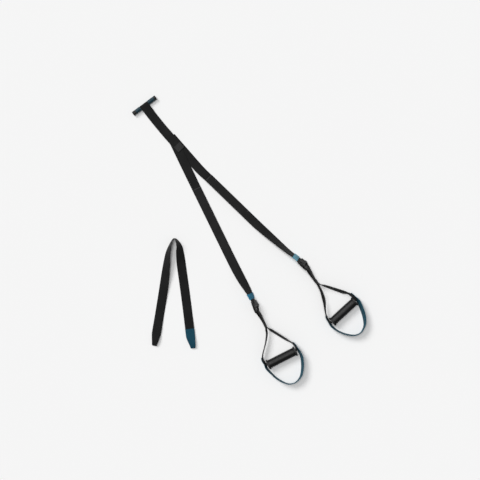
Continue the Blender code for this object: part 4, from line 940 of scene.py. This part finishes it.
def moulded(name, colours, roughness, worn):
    """Plastic with a fine moulded grain, paler where its edges are rubbed."""
    look = Look(name, roughness, specular=0.20)
    fine = look.noise(MOULDED_GRAIN, 3.0, 0.6)
    colour = look.mixed(look.stretched(look.noise(MOULDED_CLOUDS, 2.0, 0.5), 0.3, 0.7), *colours)
    colour = look.mixed(look.times(look.edges(0.53, 0.60), 0.35), colour, worn)
    uneven = look.on_top(fine, 0.25, roughness - 0.12)
    return look.finish(colour, fine, MOULDED_RELIEF, strength=0.6, roughness=uneven)


def coated(name, colours, worn):
    """Steel with a black coating, rubbed through a little along its edges."""
    look = Look(name, roughness=0.42, metallic=0.3, specular=0.35)
    fine = look.noise(COATED_GRAIN, 3.0, 0.6)
    broad = look.noise(COATED_CLOUDS, 3.0, 0.6)
    colour = look.mixed(look.stretched(broad, 0.3, 0.7), *colours)
    colour = look.mixed(look.times(look.edges(0.54, 0.62), broad), colour, worn)
    roughness = look.on_top(broad, 0.25, 0.30)
    return look.finish(colour, fine, COATED_RELIEF, strength=0.5, roughness=roughness)


def steel(name, colours):
    """Steel with fine drawn lines."""
    look = Look(name, roughness=0.3, metallic=1.0)
    lines = look.nodes.new("ShaderNodeMapping")
    look.fill(lines, {"Scale": (1.0, 1.0, STEEL_STRETCH), "Vector": look.place()})
    fine = look.noise(STEEL_GRAIN, 3.0, 0.6, lines.outputs["Vector"])
    colour = look.mixed(fine, *colours)
    roughness = look.on_top(fine, 0.2, 0.25)
    return look.finish(colour, fine, STEEL_RELIEF, strength=0.5, roughness=roughness)


def foam(name, colours):
    """Closed-cell foam: a fine, uneven skin with small pores."""
    look = Look(name, roughness=0.5, specular=0.30)
    cells = look.nodes.new("ShaderNodeTexVoronoi")
    look.fill(cells, {"Scale": FOAM_CELLS, "Vector": look.place()})
    pores = look.stretched(cells.outputs["Distance"], 0.0, 0.45)
    broad = look.noise(FOAM_CLOUDS, 4.0, 0.6)
    colour = look.mixed(look.times(pores, look.stretched(broad, 0.25, 0.75)), *colours)
    height = look.on_top(broad, 1.2, pores)
    roughness = look.on_top(broad, 0.2, 0.36)
    return look.finish(colour, height, FOAM_RELIEF, strength=0.8, roughness=roughness)


def thread(name, colours):
    """Twisted thread."""
    look = Look(name, roughness=0.6, sheen=SHEEN, specular=0.3)
    fine = look.noise(THREAD_GRAIN, 2.0, 0.5)
    return look.finish(look.mixed(fine, *colours), fine, THREAD_RELIEF, strength=0.6)


def grey(value):
    return (value, value, value * 1.02, 1)


def greys(dark, light):
    return (grey(dark), grey(light))


EYE_BLUES = ((0.003, 0.023, 0.040, 1), (0.008, 0.085, 0.135, 1))
FOOT_BLUES = ((0.001, 0.026, 0.044, 1), (0.002, 0.096, 0.148, 1))
# The two keepers are the same blue webbing: the right one's lighter blues are painted light and the left
# one's darker blues are painted shade
RIGHT_KEEPER_BLUES_PAINTED_LIGHT = ((0.048, 0.160, 0.220, 1), (0.200, 0.460, 0.580, 1))
LEFT_KEEPER_BLUES_PAINTED_SHADE = ((0.007, 0.078, 0.150, 1), (0.036, 0.260, 0.410, 1))
THREAD_BLUES = ((0.008, 0.05, 0.08, 1), (0.03, 0.14, 0.2, 1))
SLEEVE_BLUES = ((0.001, 0.008, 0.013, 1), (0.003, 0.019, 0.029, 1))
WORN_BLUE = (0.02, 0.07, 0.10, 1)
BARE_STEEL = (0.10, 0.10, 0.10, 1)
DRAWN_STEELS = ((0.10, 0.10, 0.105, 1), (0.20, 0.20, 0.20, 1))
LOOKS = {
    "black": woven("black_webbing_weave", greys(0.0045, 0.0160), WEBBING_WIDTH),
    # The tail carries a painted highlight across it near its cut end
    "tail": woven(
        "tail_weave", greys(0.0062, 0.0215), WEBBING_WIDTH, marks=(TAIL_END_HIGHLIGHT,), highlight_colour=grey(0.090)
    ),
    "extension": woven("extension_weave", greys(0.0035, 0.0125), WEBBING_WIDTH),
    "yoke": woven("yoke_weave", greys(0.0010, 0.0045), YOKE_WIDTH),
    "blue": woven("blue_eye_weave", EYE_BLUES, WEBBING_WIDTH),
    "foot": woven("foot_loop_weave", FOOT_BLUES, FOOT_WIDTH),
    # Lit and shaded copies of one keeper webbing: painted light on the right, painted shade on the left
    "right_keeper": woven("right_keeper_weave", RIGHT_KEEPER_BLUES_PAINTED_LIGHT, WEBBING_WIDTH),
    "left_keeper": woven("left_keeper_weave", LEFT_KEEPER_BLUES_PAINTED_SHADE, WEBBING_WIDTH),
    "patch": woven("patch_weave", greys(0.014, 0.052), PATCH_WIDTH, yarn=PATCH_YARN, pick=PATCH_YARN),
    "thread": thread("black_thread", greys(0.008, 0.030)),
    "blue_thread": thread("blue_thread", THREAD_BLUES),
    "sleeve": moulded("blue_sleeve_plastic", SLEEVE_BLUES, 0.42, WORN_BLUE),
    "plastic": moulded("black_moulded_plastic", greys(0.004, 0.009), 0.5, grey(0.040)),
    "metal": coated("black_coated_steel", greys(0.006, 0.013), BARE_STEEL),
    "steel": steel("dark_steel", DRAWN_STEELS),
    "foam": foam("grip_foam_skin", greys(0.0018, 0.0065)),
}
NODE_LOOKS = (
    ("anchor_bar_core", "metal"), ("anchor_bar_sleeve", "sleeve"), ("anchor_bar_cap", "plastic"),
    ("buckle_frame", "metal"), ("cam_lever", "plastic"), ("cam_pin", "steel"), ("cam_spring", "steel"),
    ("grip_tube", "plastic"), ("grip_cap", "plastic"),
)


def dress_nodes():
    """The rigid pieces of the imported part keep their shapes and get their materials."""
    for name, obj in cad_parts.items():
        for part_of_name, look in NODE_LOOKS:
            if part_of_name in name:
                obj.data.materials.clear()
                obj.data.materials.append(LOOKS[look])


# The straps


def leg_path(leg):
    """The part of the strap that stays where it is: its twist comes in beside the loose end."""
    path = []
    for mark in spread(0, leg.split, STRAP_STEP):
        roll = leg.roll(mark) * ease(mark, LAYER_RUN, TAIL_START)
        level = leg.side.layers * LAYER * (1 - ease(mark, LAYER_RUN, LAYER_RUN + LAYER_EASE))
        middle, _, across, normal = leg.frame(mark, roll)
        path.append((middle - normal * HALF_PITCH + UP * level, across))
    return path


def tail_path(leg):
    """From the loose end to the buckle, round its plate and back to where the strap is split."""
    fine_start = leg.keeper_start - KEEPER_EASE
    marks = spread(TAIL_START, leg.split, STRAP_STEP) + spread(leg.split, fine_start, STRAP_STEP)[1:]
    marks += spread(fine_start, leg.plate_end, CURVE_STEP)[1:]
    path = [leg.ply(mark, 1) for mark in marks]
    middle, along, across, normal = leg.frame(leg.plate_end)
    for y, z in arc((0, 0), PLY_RADIUS, 90, -90, ARC_STEPS // 2)[1:-1]:
        path.append((middle + along * y + normal * z, across))
    back = [mark for mark in reversed(marks) if mark > leg.split + SEAT]
    return path + [leg.ply(mark, -1) for mark in back + [leg.split + SEAT]]


def make_keeper(leg):
    """The blue loop round both plies: a hoop of webbing with rounded corners and rims."""
    name = leg.side.name
    cloth = Cloth()
    stops = spread(leg.keeper_start, leg.keeper_start + KEEPER_LENGTH, CURVE_STEP)
    frames = [leg.frame(stop) for stop in stops]
    places = [middle for middle, _, _, _ in frames]
    marks = [length - KEEPER_LENGTH / 2 for length in lengths_along(places)]
    corner = KEEPER_WALL / 4
    half = WEBBING_WIDTH / 2 + KEEPER_CLEARANCE - corner
    high = (LAYER + WEBBING_THICKNESS) / 2 + KEEPER_CLEARANCE - corner
    outlines = []
    for radius in (corner, corner + KEEPER_WALL):
        outline = []
        for turn, x, z in ((0, half, high), (90, -half, high), (180, -half, -high), (270, half, -high)):
            outline += arc((x, z), radius, turn, turn + 90, KEEPER_CORNER_STEPS)
        outlines.append(outline)
    rings = []
    for (middle, _, across, _), way in zip(frames, directions(places)):
        rings.append([cloth.ring(middle, across, way, outline) for outline in outlines])
    outer = outlines[1]
    girth = [0.0]
    for before, after in zip(outer, outer[1:] + outer[:1]):
        girth.append(girth[-1] + math.dist(before, after))
    bands = []
    for before, after, start, end in zip(rings, rings[1:], marks, marks[1:]):
        bands += [(first, second, start, end) for first, second in zip(before, after)]
    bands += [(*rings[end], marks[end], marks[end]) for end in (0, -1)]
    for first, second, start, end in bands:
        for k in range(len(outer)):
            j = (k + 1) % len(outer)
            corners = ((girth[k], start), (girth[k + 1], start), (girth[k + 1], end), (girth[k], end))
            cloth.face((first[k], first[j], second[j], second[k]), corners)
    nodes = [f"{name}_strap_keeper"]
    # Each side's keeper takes its own look: lighter with painted light on the right, darker with painted
    # shade on the left
    new_object(f"{name}_keeper_loop", cloth.mesh, f"{name}_keeper", f"{name}_adjuster", nodes)


def make_anchor():
    trail = Trail(BAR_PLACE, ANCHOR_HEADING_AT_BAR, ((ANCHOR_LENGTH, ANCHOR_HEADING_AT_SEAM),))
    ribbon("anchor_webbing", anchor_path(trail), WEBBING_WIDTH, "black", "straps", ["anchor_strap"])
    loop = flat_path(trail, LOOP_EYE, LOOP_RETURN, LAYER + WEBBING_THICKNESS)
    runs = []
    for row in range(LOOP_ROWS):
        mark = LOOP_TACK_PLACE - LOOP_EYE + row * LOOP_TACK_LENGTH / (LOOP_ROWS - 1)
        runs.append(((mark, -LOOP_TACK_WIDTH / 2), (mark, LOOP_TACK_WIDTH / 2)))
    rows = strap_rows(loop, runs, THREAD_RADIUS)
    thread_rows("anchor_loop_thread", rows, "thread", "straps", ["anchor_loop_stitching"])
    patch = flat_path(trail, ANCHOR_LENGTH - PATCH_LENGTH, ANCHOR_LENGTH, 3 * LAYER + PATCH_THICKNESS / 2)
    nodes = ["junction_patch"]
    ribbon("junction_patch_cloth", patch, PATCH_WIDTH, "patch", "straps", nodes, PATCH_THICKNESS)
    runs = box_runs(STITCH_MARGIN, PATCH_LENGTH - STITCH_MARGIN, PATCH_WIDTH / 2 - STITCH_MARGIN)
    rows = strap_rows(patch, runs, PATCH_THICKNESS / 2 + THREAD_RADIUS)
    thread_rows("junction_thread", rows, "thread", "straps", ["junction_stitching"])


def make_leg(leg):
    name = leg.side.name
    body = f"{name}_adjuster"
    ribbon(f"{name}_leg_webbing", leg_path(leg), WEBBING_WIDTH, "black", "straps", [f"{name}_leg_strap"])
    ribbon(f"{name}_tail_webbing", tail_path(leg), WEBBING_WIDTH, "tail", body, [f"{name}_strap_tail"])
    make_keeper(leg)
    middle, along, across, _ = leg.frame(leg.buckle_front)
    lip = [(middle + along * mark, across) for mark in (REAR_PLATE_END - SEAT, REAR_PLATE_END + REAR_LIP)]
    ribbon(f"{name}_buckle_lip", lip, BUCKLE_INSIDE, "metal", body, thickness=REAR_LIP_THICKNESS)


def make_handle(leg):
    name = leg.side.name
    body = f"{name}_handle"
    handle = Handle(leg)
    yoke = handle.yoke_path()
    ribbon(f"{name}_yoke_webbing", yoke, YOKE_WIDTH, "yoke", body, [f"{name}_yoke"], closed=True)
    foot = handle.foot_path()
    ribbon(f"{name}_foot_webbing", foot, FOOT_WIDTH, "foot", body, [f"{name}_foot_loop"])
    half = STEM_TACK_LENGTH / STEM_REACH / 2
    shares = spread(STEM_TACK_SHARE - 2 * half, STEM_TACK_SHARE + 2 * half, half)
    stem = [handle.stem_ply(share, 1) for share in shares]
    lift = WEBBING_THICKNESS / 2 + THREAD_RADIUS / 2
    runs = box_runs(STEM_TACK_LENGTH / 2, STEM_TACK_LENGTH * 3 / 2, STEM_TACK_WIDTH / 2)
    rows = strap_rows(stem, runs, lift)
    thread_rows(f"{name}_yoke_thread", rows, "thread", body, [f"{name}_yoke_stitching"])
    runs = box_runs(FOOT_TACK_PLACE, FOOT_TACK_PLACE + FOOT_TACK_LENGTH, FOOT_TACK_WIDTH / 2)
    for label, run, sign in (("outer", foot, 1), ("inner", foot[::-1], -1)):
        rows = strap_rows(run, runs, lift * sign)
        nodes = [f"{name}_foot_stitching_{label}"]
        thread_rows(f"{name}_foot_thread_{label}", rows, "blue_thread", body, nodes)
    make_grip(name, handle)


def make_grip(name, handle):
    """The foam sleeve of a grip, barrelled a little, with rounded ends."""
    half = GRIP_LENGTH / 2 - GRIP_CAP_LENGTH - SEAT
    inner = GRIP_TUBE_RADIUS + SEAT
    profile = [(-half, inner)]
    for i in range(GRIP_STATIONS + 1):
        x = -half + 2 * half * i / GRIP_STATIONS
        end = min(half - abs(x), GRIP_EDGE) / GRIP_EDGE
        swell = GRIP_SWELL * math.cos(x / half * math.pi / 2)
        profile.append((x, GRIP_FOAM_RADIUS - GRIP_EDGE_DROP * (1 - end) ** 2 + swell))
    profile.append((half, inner))
    mesh = bmesh.new()
    rings = []
    for x, radius in profile:
        middle = handle.grip + OFFSET + handle.outward * x
        rings.append(round_ring(mesh, middle, handle.down, UP, radius, GRIP_SIDES))
    for first, second in zip(rings, rings[1:] + rings[:1]):
        joined(mesh, first, second)
    new_object(f"{name}_grip_sleeve", mesh, "foam", f"{name}_grip", [f"{name}_grip_foam"])


def make_extension():
    lie = Extension()
    body = "extension"
    ribbon("extension_webbing", lie.path(), WEBBING_WIDTH, "extension", body, ["extension_strap"])
    profile = eye_profile()
    shares = [min(max(point.z, 0), 1) for point in profile]
    widths = [WEBBING_WIDTH + (EYE_WIDTH - WEBBING_WIDTH) * share for share in shares]
    depths = [WEBBING_THICKNESS + (EYE_THICKNESS - WEBBING_THICKNESS) * share for share in shares]
    runs = box_runs(EYE_STITCH_MARGIN, EYE_SEWN - EYE_STITCH_MARGIN, EYE_TACK_WIDTH / 2)
    for label, sign, look, sewn in (("left", -1, "extension", "thread"), ("right", 1, "blue", "blue_thread")):
        eye = [lie.eye_place(sign, point.x, point.y) for point in profile]
        nodes = [f"extension_eye_{label}"]
        ribbon(f"extension_eye_webbing_{label}", eye, widths, look, body, nodes, depths)
        top = [lie.eye_place(sign, reach, 3 * LAYER - SEAT) for reach in spread(0, EYE_SEWN, CURVE_STEP)]
        rows = [[(place + UP * THREAD_RADIUS, UP) for place, _ in row] for row in strap_rows(top, runs, 0)]
        thread_rows(f"extension_thread_{label}", rows, sewn, body, [f"extension_stitching_{label}"])


# The floor, the light and the camera

PIXEL = 0.00418
PICTURE = 480  # pixels across
PATCH_PIXEL = (179.1, 147.3)
CAMERA_HEIGHT = 3.8
SENSOR = 36.0  # millimetres across
FLOOR_REACH = 6.0
FLOOR_DROP = 0.0003  # below Z = 0, as the lowest piece reaches a little under it
FLOOR_WHITE = (0.94, 0.94, 0.94, 1)
LAMPS = (  # name, strength, size in degrees, and the way that its light goes
    ("key_light", 1.72, 26, (0.80, -0.70, -1.0)),
    ("overhead_light", 1.37, 28, (0.12, -0.11, -1.0)),
)
WORLD_STRENGTH = 0.17


def make_camera():
    """It looks straight down, with the junction's patch where it is in the photo."""
    patch_low, patch_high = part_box("junction_patch")
    patch = (patch_low + patch_high) / 2
    x = patch.x + (PICTURE / 2 - PATCH_PIXEL[0]) * PIXEL
    y = patch.y - (PICTURE / 2 - PATCH_PIXEL[1]) * PIXEL
    camera = in_scene("camera", bpy.data.cameras.new("camera"))
    camera.location = (x, y, CAMERA_HEIGHT)
    camera.data.sensor_width = SENSOR
    camera.data.sensor_fit = "HORIZONTAL"
    camera.data.lens = SENSOR * CAMERA_HEIGHT / (PICTURE * PIXEL)
    bpy.context.scene.camera = camera


def make_floor():
    mesh = bpy.data.meshes.new("floor")
    corners = [(-1, -1), (1, -1), (1, 1), (-1, 1)]
    mesh.from_pydata([(x * FLOOR_REACH, y * FLOOR_REACH, 0) for x, y in corners], [], [(0, 1, 2, 3)])
    floor = in_scene("floor", mesh)
    paper = Look("floor_paper", roughness=0.9, specular=0.1)
    paper.fill(paper.shader, {"Base Color": FLOOR_WHITE})
    mesh.materials.append(paper.material)
    floor.location = (0, 0, -FLOOR_DROP)


def make_light():
    world = bpy.data.worlds.new("studio")
    world.use_nodes = True
    world.node_tree.nodes["Background"].inputs["Color"].default_value = (1, 1, 1, 1)
    world.node_tree.nodes["Background"].inputs["Strength"].default_value = WORLD_STRENGTH
    bpy.context.scene.world = world
    for name, strength, size, way in LAMPS:
        lamp = in_scene(name, bpy.data.lights.new(name, "SUN"))
        lamp.data.energy = strength
        lamp.data.angle = math.radians(size)
        lamp.rotation_euler = Vector(way).to_track_quat("-Z", "Y").to_euler()
    bpy.context.scene.view_settings.view_transform = "Standard"


dress_nodes()
make_anchor()
for side in SIDES:
    leg = Leg(side)
    make_leg(leg)
    make_handle(leg)
make_extension()
make_camera()
make_floor()
make_light()
